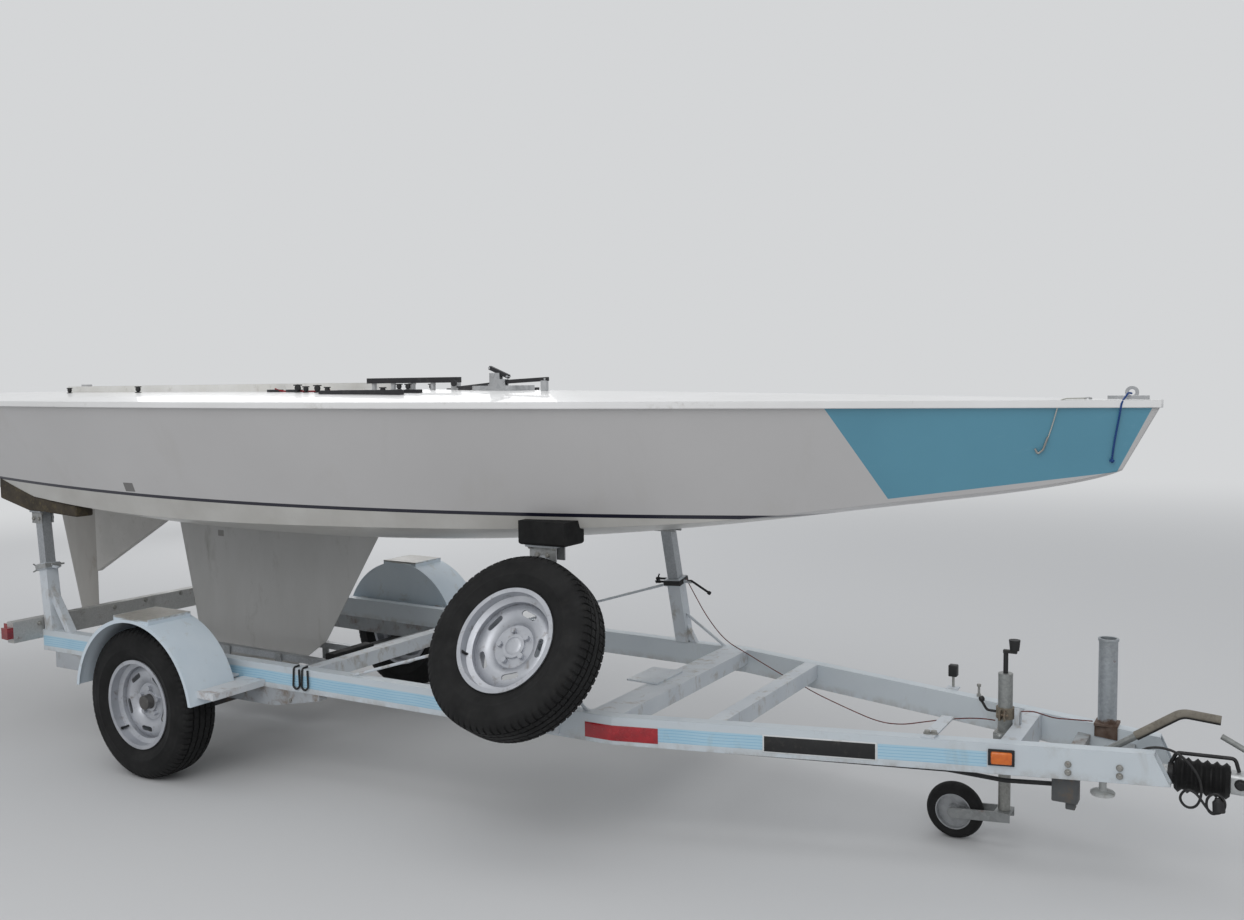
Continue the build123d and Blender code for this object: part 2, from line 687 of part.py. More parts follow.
# Rudder stock through the hull, with its head above the deck
STOCK_TOP = crown_z(STOCK_X) + STOCK_ABOVE
STOCK_FOOT = RUDDER_TOP_FRONT_Z - STOCK_IN_BLADE
with BuildPart() as rudder_stock:
    with BuildSketch(Plane.XY.offset(STOCK_FOOT)):
        with Locations((STOCK_X, 0)):
            Circle(STOCK_RADIUS)
    extrude(amount=STOCK_TOP - STOCK_FOOT)
    with BuildSketch(Plane.XY.offset(STOCK_TOP)):
        with Locations((STOCK_X, 0)):
            Circle(STOCK_RADIUS * 2)
    extrude(amount=STOCK_HEAD)
    add(rudder_blade.part, mode=Mode.SUBTRACT)
finish(rudder_stock, "rudder_stock")


def tyre_solid():
    """Main or spare tyre about the Y axis."""
    half = TYRE_WIDTH / 2
    bead = RIM_RADIUS + BEAD_RISE
    shoulder = TYRE_RADIUS - SHOULDER_DROP
    wall = half - SHOULDER_IN
    tread = half - TREAD_IN
    with BuildPart() as tyre:
        with BuildSketch():
            with BuildLine():
                Polyline((bead, BEAD_HALF), (BEAD_RADIUS, BEAD_HALF), (BEAD_RADIUS, -BEAD_HALF))
                Line((BEAD_RADIUS, -BEAD_HALF), (bead, -BEAD_HALF))
                ThreePointArc((bead, -BEAD_HALF), (BELLY_RADIUS, -half), (shoulder, -wall))
                Polyline((shoulder, -wall), (TYRE_RADIUS, -tread), (TYRE_RADIUS, tread), (shoulder, wall))
                ThreePointArc((shoulder, wall), (BELLY_RADIUS, half), (bead, BEAD_HALF))
            make_face()
        revolve(axis=Axis.Y)
    return tyre.part


def rim_solid():
    """Pressed steel wheel about the Y axis, with its outer side towards +Y."""
    inside = BEAD_RADIUS - RIM_WALL
    well = WELL_RADIUS - RIM_WALL
    lip = RIM_RADIUS - LIP_DROP
    edge = RIM_WIDTH / 2
    outer = WELL_OUTER + WELL_CORNER
    inner = WELL_INNER + WELL_CORNER
    face = DISC_OFFSET + DISC_THICK
    bore = CAP_RADIUS + CAP_CLEAR
    with BuildPart() as rim:
        with BuildSketch():
            with BuildLine():
                Polyline(
                    (BEAD_RADIUS, BEAD_HALF), (lip, BEAD_HALF), (lip, edge), (inside, edge),
                    (inside, outer + WELL_SLOPE), (well, outer), (well, -inner),
                    (inside, -inner - WELL_SLOPE), (inside, -edge), (lip, -edge),
                    (lip, -BEAD_HALF), (BEAD_RADIUS, -BEAD_HALF), (BEAD_RADIUS, -WELL_INNER - WELL_SLOPE),
                    (WELL_RADIUS, -WELL_INNER), (WELL_RADIUS, WELL_OUTER),
                    (BEAD_RADIUS, WELL_OUTER + WELL_SLOPE), close=True,
                )
            make_face()
            with BuildLine():
                Line((bore, face), (DISC_SEAT, face))
                ThreePointArc((DISC_SEAT, face), (DISC_RIDGE, face + RIDGE_HEIGHT), (WELL_RADIUS, face))
                Line((WELL_RADIUS, face), (WELL_RADIUS, DISC_OFFSET))
                ThreePointArc(
                    (WELL_RADIUS, DISC_OFFSET), (DISC_RIDGE, DISC_OFFSET + RIDGE_HEIGHT),
                    (DISC_SEAT, DISC_OFFSET),
                )
                Polyline((DISC_SEAT, DISC_OFFSET), (bore, DISC_OFFSET), (bore, face))
            make_face()
            with Locations(((bore + SEAT_RING) / 2, face + RING_HEIGHT / 2)):
                Rectangle(SEAT_RING - bore, RING_HEIGHT)
        revolve(axis=Axis.Y)
        with BuildSketch(Plane.XZ.offset(-DISC_OFFSET)):
            with PolarLocations(SLOT_RADIUS, SLOTS):
                SlotOverall(SLOT_LENGTH, SLOT_WIDTH, rotation=90, mode=Mode.ADD)
        extrude(amount=-RIDGE_HEIGHT - DISC_THICK - OVERRUN, mode=Mode.SUBTRACT)
        with BuildSketch(Plane.XZ.offset(-face)):
            with PolarLocations(STUD_RADIUS, NUTS, start_angle=180 / NUTS):
                RegularPolygon(NUT_RADIUS, 6)
        extrude(amount=-NUT_HEIGHT)
    return rim.part


def hub_solid():
    """Hub about the Y axis, with its flange against the back of the wheel disc."""
    with BuildPart() as hub:
        with BuildSketch(Plane.XZ.offset(-DISC_OFFSET)):
            Circle(HUB_RADIUS)
        extrude(amount=HUB_FLANGE)
        with BuildSketch(Plane.XZ.offset(-DISC_OFFSET + HUB_FLANGE)):
            Circle(HUB_BARREL)
        extrude(amount=HUB_LENGTH - HUB_FLANGE)
        with BuildSketch(Plane.XZ.offset(-DISC_OFFSET)):
            Circle(CAP_RADIUS)
        extrude(amount=-CAP_LENGTH)
        with BuildSketch(Plane.XZ.offset(-DISC_OFFSET + HUB_LENGTH)):
            Circle(SPINDLE_RADIUS + SPINDLE_FIT)
        extrude(amount=-HUB_LENGTH - OVERRUN, mode=Mode.SUBTRACT)
    return hub.part


tyre_shape = tyre_solid()
rim_shape = rim_solid()
hub_shape = hub_solid()
for side, turn in (("port", 0), ("starboard", 180)):
    seat = Location((0, WHEEL_Y if side == "port" else -WHEEL_Y, 0), (0, 0, turn))
    for shape, name in ((tyre_shape, "tyre"), (rim_shape, "rim"), (hub_shape, "hub")):
        with BuildPart() as wheel_piece:
            add(shape.moved(seat))
        finish(wheel_piece, f"wheel_{name}_{side}")

# Side rails, box tubes that run in to the nose
with BuildPart() as rails:
    with BuildSketch(Plane.XY.offset(RAIL_FOOT)):
        add(rail_strip(RAIL_REAR_X, NOSE_X, RAIL_WIDTH))
    extrude(amount=RAIL_HEIGHT)
    with BuildSketch(Plane.XY.offset(RAIL_FOOT + RAIL_WALL)):
        add(rail_strip(
            RAIL_REAR_X - OVERRUN, NOSE_X + OVERRUN, RAIL_WIDTH - 2 * RAIL_WALL, RAIL_WALL
        ))
    extrude(amount=RAIL_HEIGHT - 2 * RAIL_WALL, mode=Mode.SUBTRACT)
    with BuildSketch(Plane.XZ):
        with BuildLine():
            Polyline(
                (NOSE_X, RAIL_FOOT), (NOSE_X - NOSE_SLANT, RAIL_TOP_Z), (NOSE_X + OVERRUN, RAIL_TOP_Z),
                (NOSE_X + OVERRUN, RAIL_FOOT), close=True,
            )
        make_face()
    extrude(amount=-2 * NOSE_Y, mode=Mode.SUBTRACT)
    mirror(about=Plane.XZ)
finish(rails, "side_rails")

# Cross-members, level with the top of the rails and butted to their inside faces, and the flat bar
with BuildPart() as cross_members:
    for name, rear, length, depth in CROSS_MEMBERS:
        with BuildSketch(Plane.XY.offset(RAIL_TOP_Z - depth)):
            add(bay_plan(rear, length, RAIL_WIDTH))
        extrude(amount=depth)
    block(
        (FLAT_BAR_X, FLAT_BAR_X + FLAT_BAR_LENGTH), (-rail_y(FLAT_BAR_X + FLAT_BAR_LENGTH), -FLAT_BAR_END),
        (RAIL_TOP_Z, RAIL_TOP_Z + FLAT_BAR_THICK),
    )
finish(cross_members, "cross_members")

# Rear lighting beam across the rails' ends
with BuildPart() as rear_beam:
    beam_top = RAIL_TOP_Z + BEAM_ABOVE_RAIL
    beam_foot = beam_top - BEAM_HEIGHT
    beam_back = RAIL_REAR_X - BEAM_DEPTH
    block((beam_back, RAIL_REAR_X), (-BEAM_HALF, BEAM_HALF), (beam_foot, beam_top))
    block(
        (beam_back - OVERRUN, RAIL_REAR_X - BEAM_WALL), (-BEAM_HALF + BEAM_WALL, BEAM_HALF - BEAM_WALL),
        (beam_foot + BEAM_WALL, beam_top - BEAM_WALL), mode=Mode.SUBTRACT,
    )
finish(rear_beam, "rear_beam")

# Rear lamps on the beam's back and marker lamps on its ends
with BuildPart() as rear_lamps:
    beam_middle = beam_top - BEAM_HEIGHT / 2
    both_sides(
        (beam_back - LAMP_THICK, beam_back), (BEAM_HALF - LAMP_LENGTH, BEAM_HALF),
        (beam_middle - LAMP_HEIGHT / 2, beam_middle + LAMP_HEIGHT / 2),
    )
    both_sides(
        (beam_back, RAIL_REAR_X), (BEAM_HALF, BEAM_HALF + END_LAMP),
        (beam_middle - LAMP_HEIGHT / 3, beam_middle + LAMP_HEIGHT / 3),
    )
finish(rear_lamps, "rear_lamps")

# Suspension sub-frame under the rails, tapered towards the front
SUB_FOOT = RAIL_FOOT - SUB_HEIGHT
with BuildPart() as subframe:
    with BuildSketch(Plane.XY.offset(SUB_FOOT)):
        add(rail_strip(SUB_REAR, SUB_FRONT, SUB_WIDTH))
    extrude(amount=SUB_HEIGHT)
    with BuildSketch(Plane.XZ):
        with BuildLine():
            Polyline(
                (SUB_FRONT, RAIL_FOOT - SUB_FRONT_HEIGHT), (SUB_FRONT - SUB_TAPER, SUB_FOOT),
                (SUB_FRONT, SUB_FOOT), close=True,
            )
        make_face()
    extrude(amount=-2 * RAIL_REAR_Y, mode=Mode.SUBTRACT)
    mirror(about=Plane.XZ)
finish(subframe, "suspension_subframe")

# Torsion half axles: square tube, trailing arm and spindle on each side
TORSION_Z = SUB_FOOT - TORSION_SIZE / 2
ARM_INNER = rail_y(RAIL_REAR_X) + ARM_CLEAR
with BuildPart() as half_axles:
    block(
        (TORSION_X - TORSION_SIZE / 2, TORSION_X + TORSION_SIZE / 2), (TORSION_INNER, ARM_INNER),
        (TORSION_Z - TORSION_SIZE / 2, SUB_FOOT),
    )
    arm_run = math.hypot(TORSION_X, TORSION_Z)
    arm_plane = Plane(origin=(0, ARM_INNER, 0), x_dir=(TORSION_X, 0, TORSION_Z), z_dir=(0, 1, 0))
    with BuildSketch(arm_plane):
        with Locations((arm_run / 2, 0)):
            SlotCenterToCenter(arm_run, ARM_HEIGHT)
    extrude(amount=ARM_THICK)
    with BuildSketch(Plane.XZ.offset(-ARM_INNER)):
        Circle(SPINDLE_RADIUS)
    extrude(amount=-(WHEEL_Y + DISC_OFFSET + SPINDLE_END - ARM_INNER))
    mirror(about=Plane.XZ)
finish(half_axles, "torsion_half_axles")

# Keel cradle: two low cross-beams, two long bars and a tray hung on straps
TRAY_TOP = BULB_Z - BULB_RADIUS - SEAT_GAP
STRAP_FOOT = TRAY_TOP - 2 * TRAY_THICK
with BuildPart() as cradle_beams:
    cradle_foot = SUB_FOOT + CRADLE_LIFT
    for rear in (CRADLE_REAR, CRADLE_FRONT):
        with BuildSketch(Plane.XY.offset(cradle_foot)):
            add(bay_plan(rear, CRADLE_BEAM, SUB_WIDTH))
        extrude(amount=CRADLE_TOP - cradle_foot)
    both_sides(
        (CRADLE_REAR + CRADLE_BEAM, CRADLE_FRONT), (CRADLE_HALF - CRADLE_BAR, CRADLE_HALF),
        (CRADLE_TOP - CRADLE_BAR, CRADLE_TOP),
    )
finish(cradle_beams, "keel_cradle_beams")
with BuildPart() as tray:
    block(
        (BULB_TAIL + TRAY_BACK, BULB_NOSE + TRAY_AHEAD), (-TRAY_HALF, TRAY_HALF),
        (TRAY_TOP - TRAY_THICK, TRAY_TOP),
    )
    for strap_x in STRAPS_X:
        strap_span = (strap_x - STRAP_WIDTH / 2, strap_x + STRAP_WIDTH / 2)
        strap_half = CRADLE_HALF + TRAY_THICK
        block(strap_span, (-strap_half, strap_half), (STRAP_FOOT, STRAP_FOOT + TRAY_THICK))
        both_sides(strap_span, (CRADLE_HALF, strap_half), (STRAP_FOOT, CRADLE_TOP))
finish(tray, "keel_tray")
with BuildPart() as keel_stop:
    block(
        (CRADLE_FRONT, CRADLE_FRONT + CRADLE_BEAM), (-STOP_HALF, STOP_HALF),
        (CRADLE_TOP, CRADLE_TOP + STOP_HEIGHT),
    )
    fillet(keel_stop.edges().filter_by(Axis.Y).group_by(Axis.Z)[-1], STOP_ROUND)
finish(keel_stop, "keel_stop_pad")


def fender_profile(outside, inside, foot):
    """Half ring of a fender about its own middle, open below the foot."""
    with BuildSketch() as profile:
        with Locations((FENDER_X, 0)):
            Circle(outside)
            if inside:
                Circle(inside, mode=Mode.SUBTRACT)
            with Locations((0, foot - outside)):
                Rectangle(2 * outside, 2 * outside, mode=Mode.SUBTRACT)
    return profile.sketch


# Fenders: rolled skins with a closed inner side, an outer lip and a flat tread plate on top
with BuildPart() as fenders:
    with BuildSketch(Plane.XZ.offset(-FENDER_INNER)):
        add(fender_profile(FENDER_RADIUS, FENDER_RADIUS - FENDER_SKIN, FENDER_FOOT_Z))
    extrude(amount=FENDER_INNER - FENDER_OUTER)
    with BuildSketch(Plane.XZ.offset(-FENDER_INNER)):
        add(fender_profile(FENDER_RADIUS, 0, FENDER_SIDE_FOOT_Z))
    extrude(amount=-FENDER_SKIN)
    with BuildSketch(Plane.XZ.offset(-FENDER_OUTER)):
        add(fender_profile(FENDER_RADIUS, FENDER_RADIUS - FENDER_LIP, FENDER_FOOT_Z))
    extrude(amount=FENDER_SKIN)
    with BuildSketch(Plane.XZ.offset(-FENDER_INNER - TREAD_INSET)):
        with Locations((FENDER_X, FENDER_RADIUS - TREAD_DEPTH / 2 + TREAD_THICK)):
            Rectangle(TREAD_LENGTH, TREAD_DEPTH)
        with Locations((FENDER_X, 0)):
            Circle(FENDER_RADIUS - FENDER_SKIN, mode=Mode.SUBTRACT)
    extrude(amount=FENDER_INNER - FENDER_OUTER + 2 * TREAD_INSET)
    mirror(about=Plane.XZ)
finish(fenders, "fenders")

# Angle brackets from the rails to the fenders, and a foot step ahead of each fender
with BuildPart() as fender_brackets:
    for bracket_x in BRACKETS_X:
        bracket_span = (bracket_x, bracket_x + BRACKET_WIDTH)
        bracket_y = rail_y(bracket_span[1])
        block(bracket_span, (bracket_y, FENDER_INNER), (BRACKET_Z, BRACKET_Z + BRACKET_THICK))
        block(
            bracket_span, (FENDER_INNER - BRACKET_THICK, FENDER_INNER), (BRACKET_Z, BRACKET_Z + BRACKET_RISE)
        )
    step_x = FENDER_X + FENDER_RADIUS
    step_front = step_x + STEP_LENGTH
    block(
        (step_x - STEP_LENGTH / 2, step_front), (rail_y(step_front), WHEEL_Y + STEP_OUTSIDE),
        (STEP_Z, STEP_Z + STEP_THICK),
    )
    with BuildSketch(Plane.XZ.offset(-FENDER_INNER)):
        with Locations((FENDER_X, 0)):
            Circle(FENDER_RADIUS)
    extrude(amount=FENDER_INNER - FENDER_OUTER, mode=Mode.SUBTRACT)
    mirror(about=Plane.XZ)
    add(rails.part, mode=Mode.SUBTRACT)
finish(fender_brackets, "fender_brackets")

# Bunk posts: sleeves with their braces, rods and clamp collars on the rails, and the tubes that slide in them
SLEEVE_SQUARE = (POST_OUTER, POST_OUTER)
BORE_SQUARE = (POST_OUTER - 2 * POST_WALL, POST_OUTER - 2 * POST_WALL)
with BuildPart() as sleeves:
    for post, brace, rods in (
        (REAR_POST, REAR_BRACE, ()), (MIDDLE_POST, MIDDLE_BRACE, (FRONT_ROD, REAR_ROD)),
    ):
        foot, top, sleeve_length = bunk_post(post)
        reach, height, size = brace
        start = slant(foot, top, height)
        run = Vector(foot[0] + reach, foot[1], RAIL_TOP_Z - BRACE_SINK) - start
        with BuildSketch(Plane(origin=start, x_dir=(0, 1, 0), z_dir=run)):
            Rectangle(size, size)
        extrude(amount=run.length)
        for rod_reach, rod_height in rods:
            rod_x = foot[0] + rod_reach
            start = slant(foot, top, rod_height)
            run = Vector(rod_x, rail_y(rod_x) - RAIL_WIDTH / 2, RAIL_TOP_Z - ROD_RADIUS) - start
            with BuildSketch(Plane(origin=start, x_dir=(0, 1, 0), z_dir=run)):
                Circle(ROD_RADIUS)
            extrude(amount=run.length)
        with BuildSketch(post_plane(foot, top, -BRACE_SINK)):
            Rectangle(*SLEEVE_SQUARE)
        extrude(amount=sleeve_length + BRACE_SINK)
        with BuildSketch(post_plane(foot, top, sleeve_length - COLLAR_LENGTH)):
            Rectangle(POST_OUTER + 2 * COLLAR_WALL, POST_OUTER + 2 * COLLAR_WALL)
        extrude(amount=COLLAR_LENGTH)
        screw = slant(foot, top, sleeve_length - COLLAR_LENGTH / 2)
        with BuildSketch(Plane(origin=screw, x_dir=(0, 1, 0), z_dir=(1, 0, 0))):
            Circle(SCREW_RADIUS)
        extrude(amount=POST_OUTER / 2 + COLLAR_WALL + SCREW_REACH)
        with BuildSketch(post_plane(foot, top, -BRACE_SINK)):
            Rectangle(*BORE_SQUARE)
        extrude(amount=sleeve_length + 2 * BRACE_SINK, mode=Mode.SUBTRACT)
    block(
        (RAIL_REAR_X - CUT_REACH, BEND_X + CUT_REACH), (0, RAIL_REAR_Y + CUT_REACH), (0, RAIL_TOP_Z),
        mode=Mode.SUBTRACT,
    )
    mirror(about=Plane.XZ)
finish(sleeves, "bunk_post_sleeves")
with BuildPart() as post_tubes:
    for post, head_length, head_width in (
        (REAR_POST, REAR_HEAD_LENGTH, REAR_HEAD_WIDTH), (MIDDLE_POST, MIDDLE_HEAD_LENGTH, MIDDLE_HEAD_WIDTH),
    ):
        foot, top, sleeve_length = bunk_post(post)
        tube_start = sleeve_length - TUBE_OVERLAP
        with BuildSketch(post_plane(foot, top, tube_start)):
            Rectangle(POST_INNER, POST_INNER)
            Rectangle(POST_INNER - 2 * POST_WALL, POST_INNER - 2 * POST_WALL, mode=Mode.SUBTRACT)
        extrude(amount=(Vector(*top) - Vector(*foot)).length - tube_start + POST_INNER)
        block(
            (foot[0] - CUT_REACH, foot[0] + CUT_REACH), (0, foot[1] + CUT_REACH),
            (top[2] - HEAD_THICK, top[2] + CUT_REACH), mode=Mode.SUBTRACT,
        )
        block(
            (top[0] - head_length / 2, top[0] + head_length / 2),
            (top[1] - head_width / 2, top[1] + head_width / 2), (top[2] - HEAD_THICK, top[2]),
        )
    mirror(about=Plane.XZ)
finish(post_tubes, "bunk_post_tubes")

# Rear bunks, padded boards under the bottom, and middle pads under the chines
with BuildPart() as bunks:
    bunk_x, bunk_y, bunk_z = REAR_POST[2], REAR_POST[3], REAR_POST[5]
    bunk_front = bunk_x + BUNK_AHEAD
    bunk_back = bunk_x - BUNK_BEHIND
    with BuildSketch(Plane.XZ.offset(-bunk_y + BUNK_WIDTH / 2)):
        with BuildLine():
            Polyline(
                (bunk_x - REAR_HEAD_LENGTH / 2, bunk_z), (bunk_x + REAR_HEAD_LENGTH / 2, bunk_z),
                (bunk_front, bunk_z - BUNK_DROP), (bunk_front, bunk_z + BUNK_HEIGHT),
                (bunk_back, bunk_z + BUNK_RISE + BUNK_HEIGHT), (bunk_back, bunk_z + BUNK_RISE), close=True,
            )
        make_face()
    extrude(amount=-BUNK_WIDTH)
    mirror(about=Plane.XZ)
    add(hull.part, mode=Mode.SUBTRACT)
finish(bunks, "rear_bunks")
with BuildPart() as pads:
    pad_x, pad_y, pad_z = MIDDLE_POST[2], MIDDLE_POST[3], MIDDLE_POST[5]
    both_sides(
        (pad_x - PAD_BEHIND, pad_x + PAD_AHEAD), (pad_y - PAD_WIDTH / 2, pad_y + PAD_WIDTH / 2),
        (pad_z, pad_z + PAD_HEIGHT),
    )
    fillet(pads.edges().group_by(Axis.Z)[0], PAD_ROUND)
    add(hull.part, mode=Mode.SUBTRACT)
finish(pads, "middle_pads")

# Spare wheel leaning over the starboard rail, on a plate, a stub tube along its axle and a mounting disc
SPARE_Y = SPARE_RAIL_Y + SPARE_OUT
spare_seat = Location((SPARE_X, -SPARE_Y, SPARE_Z), (-SPARE_LEAN, 0, 180))
for shape, name in ((tyre_shape, "spare_tyre"), (rim_shape, "spare_rim")):
    with BuildPart() as spare_piece:
        add(shape.moved(spare_seat))
    finish(spare_piece, name)
with BuildPart() as spare_carrier:
    lean = math.radians(SPARE_LEAN)
    spare_plane = Plane(
        origin=(SPARE_X, SPARE_Y, SPARE_Z), x_dir=(1, 0, 0), z_dir=(0, math.cos(lean), math.sin(lean))
    )
    carrier_span = (SPARE_X - CARRIER_WIDTH / 2, SPARE_X + CARRIER_WIDTH / 2)
    carrier_foot = RAIL_FOOT + CARRIER_FOOT
    landing_z = SPARE_Z - (SPARE_OUT - CARRIER_PLATE) * math.tan(lean)
    with BuildSketch(spare_plane.offset(DISC_OFFSET)):
        Circle(HUB_RADIUS)
    extrude(amount=-CARRIER_DISC)
    with BuildSketch(spare_plane.offset(DISC_OFFSET - CARRIER_DISC)):
        Rectangle(CARRIER_STUB, CARRIER_STUB)
    extrude(amount=-SPARE_OUT / math.cos(lean))
    with BuildSketch(Plane.XY.offset(carrier_foot)):
        add(rail_strip(*carrier_span, CARRIER_STUB))
    extrude(amount=SPARE_Z - carrier_foot, mode=Mode.SUBTRACT)
    with BuildSketch(Plane.XY.offset(carrier_foot)):
        add(rail_strip(*carrier_span, CARRIER_PLATE, -CARRIER_PLATE))
    extrude(amount=landing_z + CARRIER_WIDTH / 2 - carrier_foot)
spare_carrier.part = spare_carrier.part.mirror(Plane.XZ)
finish(spare_carrier, "spare_wheel_carrier")

# Jockey wheel: outer tube clamped to its cross-member, with the crank on top
JOCKEY_WHEEL_X = JOCKEY_X - JOCKEY_TRAIL
JOCKEY_Z = (JOCKEY_RADIUS - TYRE_RADIUS + JOCKEY_WHEEL_X * math.sin(TIP)) / math.cos(TIP)
FORK_TOP = JOCKEY_Z + FORK_HALF_HEIGHT
LEG_TOP = JOCKEY_TUBE_FOOT + JOCKEY_LOWER + JOCKEY_HELD
JOCKEY_TUBE_TOP = LEG_TOP + JOCKEY_RAISE + JOCKEY_SPARE
JOCKEY_BEAM_X = next(rear for name, rear, length, depth in CROSS_MEMBERS if name == "jockey")
with BuildPart() as jockey_tube:
    block(
        (JOCKEY_X - JOCKEY_TUBE - CLAMP_WALL, JOCKEY_BEAM_X), (-CLAMP_HALF, CLAMP_HALF),
        (CLAMP_Z, CLAMP_Z + CLAMP_HEIGHT),
    )
    clamp_middle = CLAMP_Z + CLAMP_HEIGHT / 2
    handle = [(JOCKEY_X, -CLAMP_HALF + CLAMP_ROD, clamp_middle)]
    handle += [(JOCKEY_X, y, clamp_middle + rise) for y, rise in CLAMP_HANDLE]
    with BuildLine() as handle_path:
        FilletPolyline(*handle, radius=CLAMP_BEND)
    with BuildSketch(Plane(origin=handle[0], z_dir=(0, -1, 0))):
        Circle(CLAMP_ROD)
    sweep(path=handle_path.line)
    with Locations(handle[-1]):
        Sphere(CLAMP_KNOB)
    with BuildSketch(Plane.XY.offset(JOCKEY_TUBE_FOOT)):
        with Locations((JOCKEY_X, 0)):
            Circle(JOCKEY_TUBE)
    extrude(amount=JOCKEY_TUBE_TOP + JOCKEY_CAP - JOCKEY_TUBE_FOOT)
    with BuildSketch(Plane.XY.offset(JOCKEY_TUBE_FOOT)):
        with Locations((JOCKEY_X, 0)):
            Circle(JOCKEY_LEG + JOCKEY_FIT)
    extrude(amount=JOCKEY_TUBE_TOP - JOCKEY_TUBE_FOOT, mode=Mode.SUBTRACT)
finish(jockey_tube, "jockey_outer_tube")
with BuildPart() as jockey_crank:
    crank_foot = JOCKEY_TUBE_TOP + JOCKEY_CAP
    crank_z = crank_foot + CRANK_RISE
    with BuildSketch(Plane.XY.offset(crank_foot)):
        with Locations((JOCKEY_X, 0)):
            Circle(CRANK_ROD)
    extrude(amount=CRANK_RISE)
    block(
        (JOCKEY_X - CRANK_ROD, JOCKEY_X + CRANK_THROW + CRANK_ROD), (-CRANK_ROD, CRANK_ROD),
        (crank_z, crank_z + CRANK_THICK),
    )
    with BuildSketch(Plane.XY.offset(crank_z + CRANK_THICK)):
        with Locations((JOCKEY_X + CRANK_THROW, 0)):
            Circle(GRIP_RADIUS)
    extrude(amount=GRIP_LENGTH, taper=-GRIP_TAPER)
finish(jockey_crank, "jockey_crank")

# Jockey leg, sliding in the outer tube, and the fork that swivels on the leg's foot
with BuildPart() as jockey_leg:
    with BuildSketch(Plane.XY.offset(FORK_TOP + JOCKEY_FIT)):
        with Locations((JOCKEY_X, 0)):
            Circle(JOCKEY_LEG)
    extrude(amount=LEG_TOP - FORK_TOP - JOCKEY_FIT)
    with BuildSketch(Plane.XY.offset(FORK_TOP + JOCKEY_FIT)):
        with Locations((JOCKEY_X, 0)):
            Circle(SPIGOT_RADIUS + JOCKEY_FIT)
    extrude(amount=SPIGOT_LENGTH + JOCKEY_SPARE, mode=Mode.SUBTRACT)
finish(jockey_leg, "jockey_leg")
FORK_INNER = JOCKEY_WIDTH / 2 + FORK_GAP
with BuildPart() as jockey_fork:
    for low, high in ((-FORK_INNER - FORK_PLATE, -FORK_INNER), (FORK_INNER, FORK_INNER + FORK_PLATE)):
        with BuildSketch(Plane.XZ.offset(-high)):
            with BuildLine():
                Polyline(
                    (JOCKEY_X + FORK_HEAD, FORK_TOP), (JOCKEY_X + FORK_HEAD, FORK_TOP - FORK_HALF_HEIGHT),
                    (JOCKEY_WHEEL_X, JOCKEY_Z - FORK_END), (JOCKEY_WHEEL_X, JOCKEY_Z + FORK_END),
                    (JOCKEY_X - FORK_HEAD, FORK_TOP), close=True,
                )
            make_face()
            with Locations((JOCKEY_WHEEL_X, JOCKEY_Z)):
                Circle(FORK_END)
        extrude(amount=FORK_PLATE)
    block(
        (JOCKEY_X - FORK_HEAD, JOCKEY_X + FORK_HEAD), (-FORK_INNER - FORK_PLATE, FORK_INNER + FORK_PLATE),
        (FORK_TOP - FORK_PLATE, FORK_TOP),
    )
    with BuildSketch(Plane.XY.offset(FORK_TOP)):
        with Locations((JOCKEY_X, 0)):
            Circle(SPIGOT_RADIUS)
    extrude(amount=SPIGOT_LENGTH)
    with BuildSketch(Plane.XZ.offset(-FORK_INNER - FORK_PLATE)):
        with Locations((JOCKEY_WHEEL_X, JOCKEY_Z)):
            Circle(JOCKEY_AXLE)
    extrude(amount=2 * (FORK_INNER + FORK_PLATE))
finish(jockey_fork, "jockey_fork")
jockey_seat = Location((JOCKEY_WHEEL_X, 0, JOCKEY_Z))
with BuildPart() as jockey_tyre:
    half = JOCKEY_TREAD / 2
    shoulder = JOCKEY_RADIUS - JOCKEY_SHOULDER
    with BuildSketch():
        with BuildLine():
            Line((JOCKEY_HUB, -half), (shoulder, -half))
            ThreePointArc((shoulder, -half), (JOCKEY_RADIUS, 0), (shoulder, half))
            Polyline((shoulder, half), (JOCKEY_HUB, half), (JOCKEY_HUB, -half))
        make_face()
    revolve(axis=Axis.Y)
jockey_tyre.part = jockey_tyre.part.moved(jockey_seat)
finish(jockey_tyre, "jockey_tyre")
with BuildPart() as jockey_rim:
    for radius, bore, width in (
        (HUB_TUBE, JOCKEY_AXLE + SPINDLE_FIT, JOCKEY_WIDTH), (JOCKEY_HUB, HUB_TUBE, RIM_DISC),
        (JOCKEY_HUB, JOCKEY_HUB - RIM_DISC / 2, JOCKEY_TREAD),
    ):
        with BuildSketch(Plane.XZ.offset(-width / 2)):
            Circle(radius)
            Circle(bore, mode=Mode.SUBTRACT)
        extrude(amount=width)
jockey_rim.part = jockey_rim.part.moved(jockey_seat)
finish(jockey_rim, "jockey_rim")

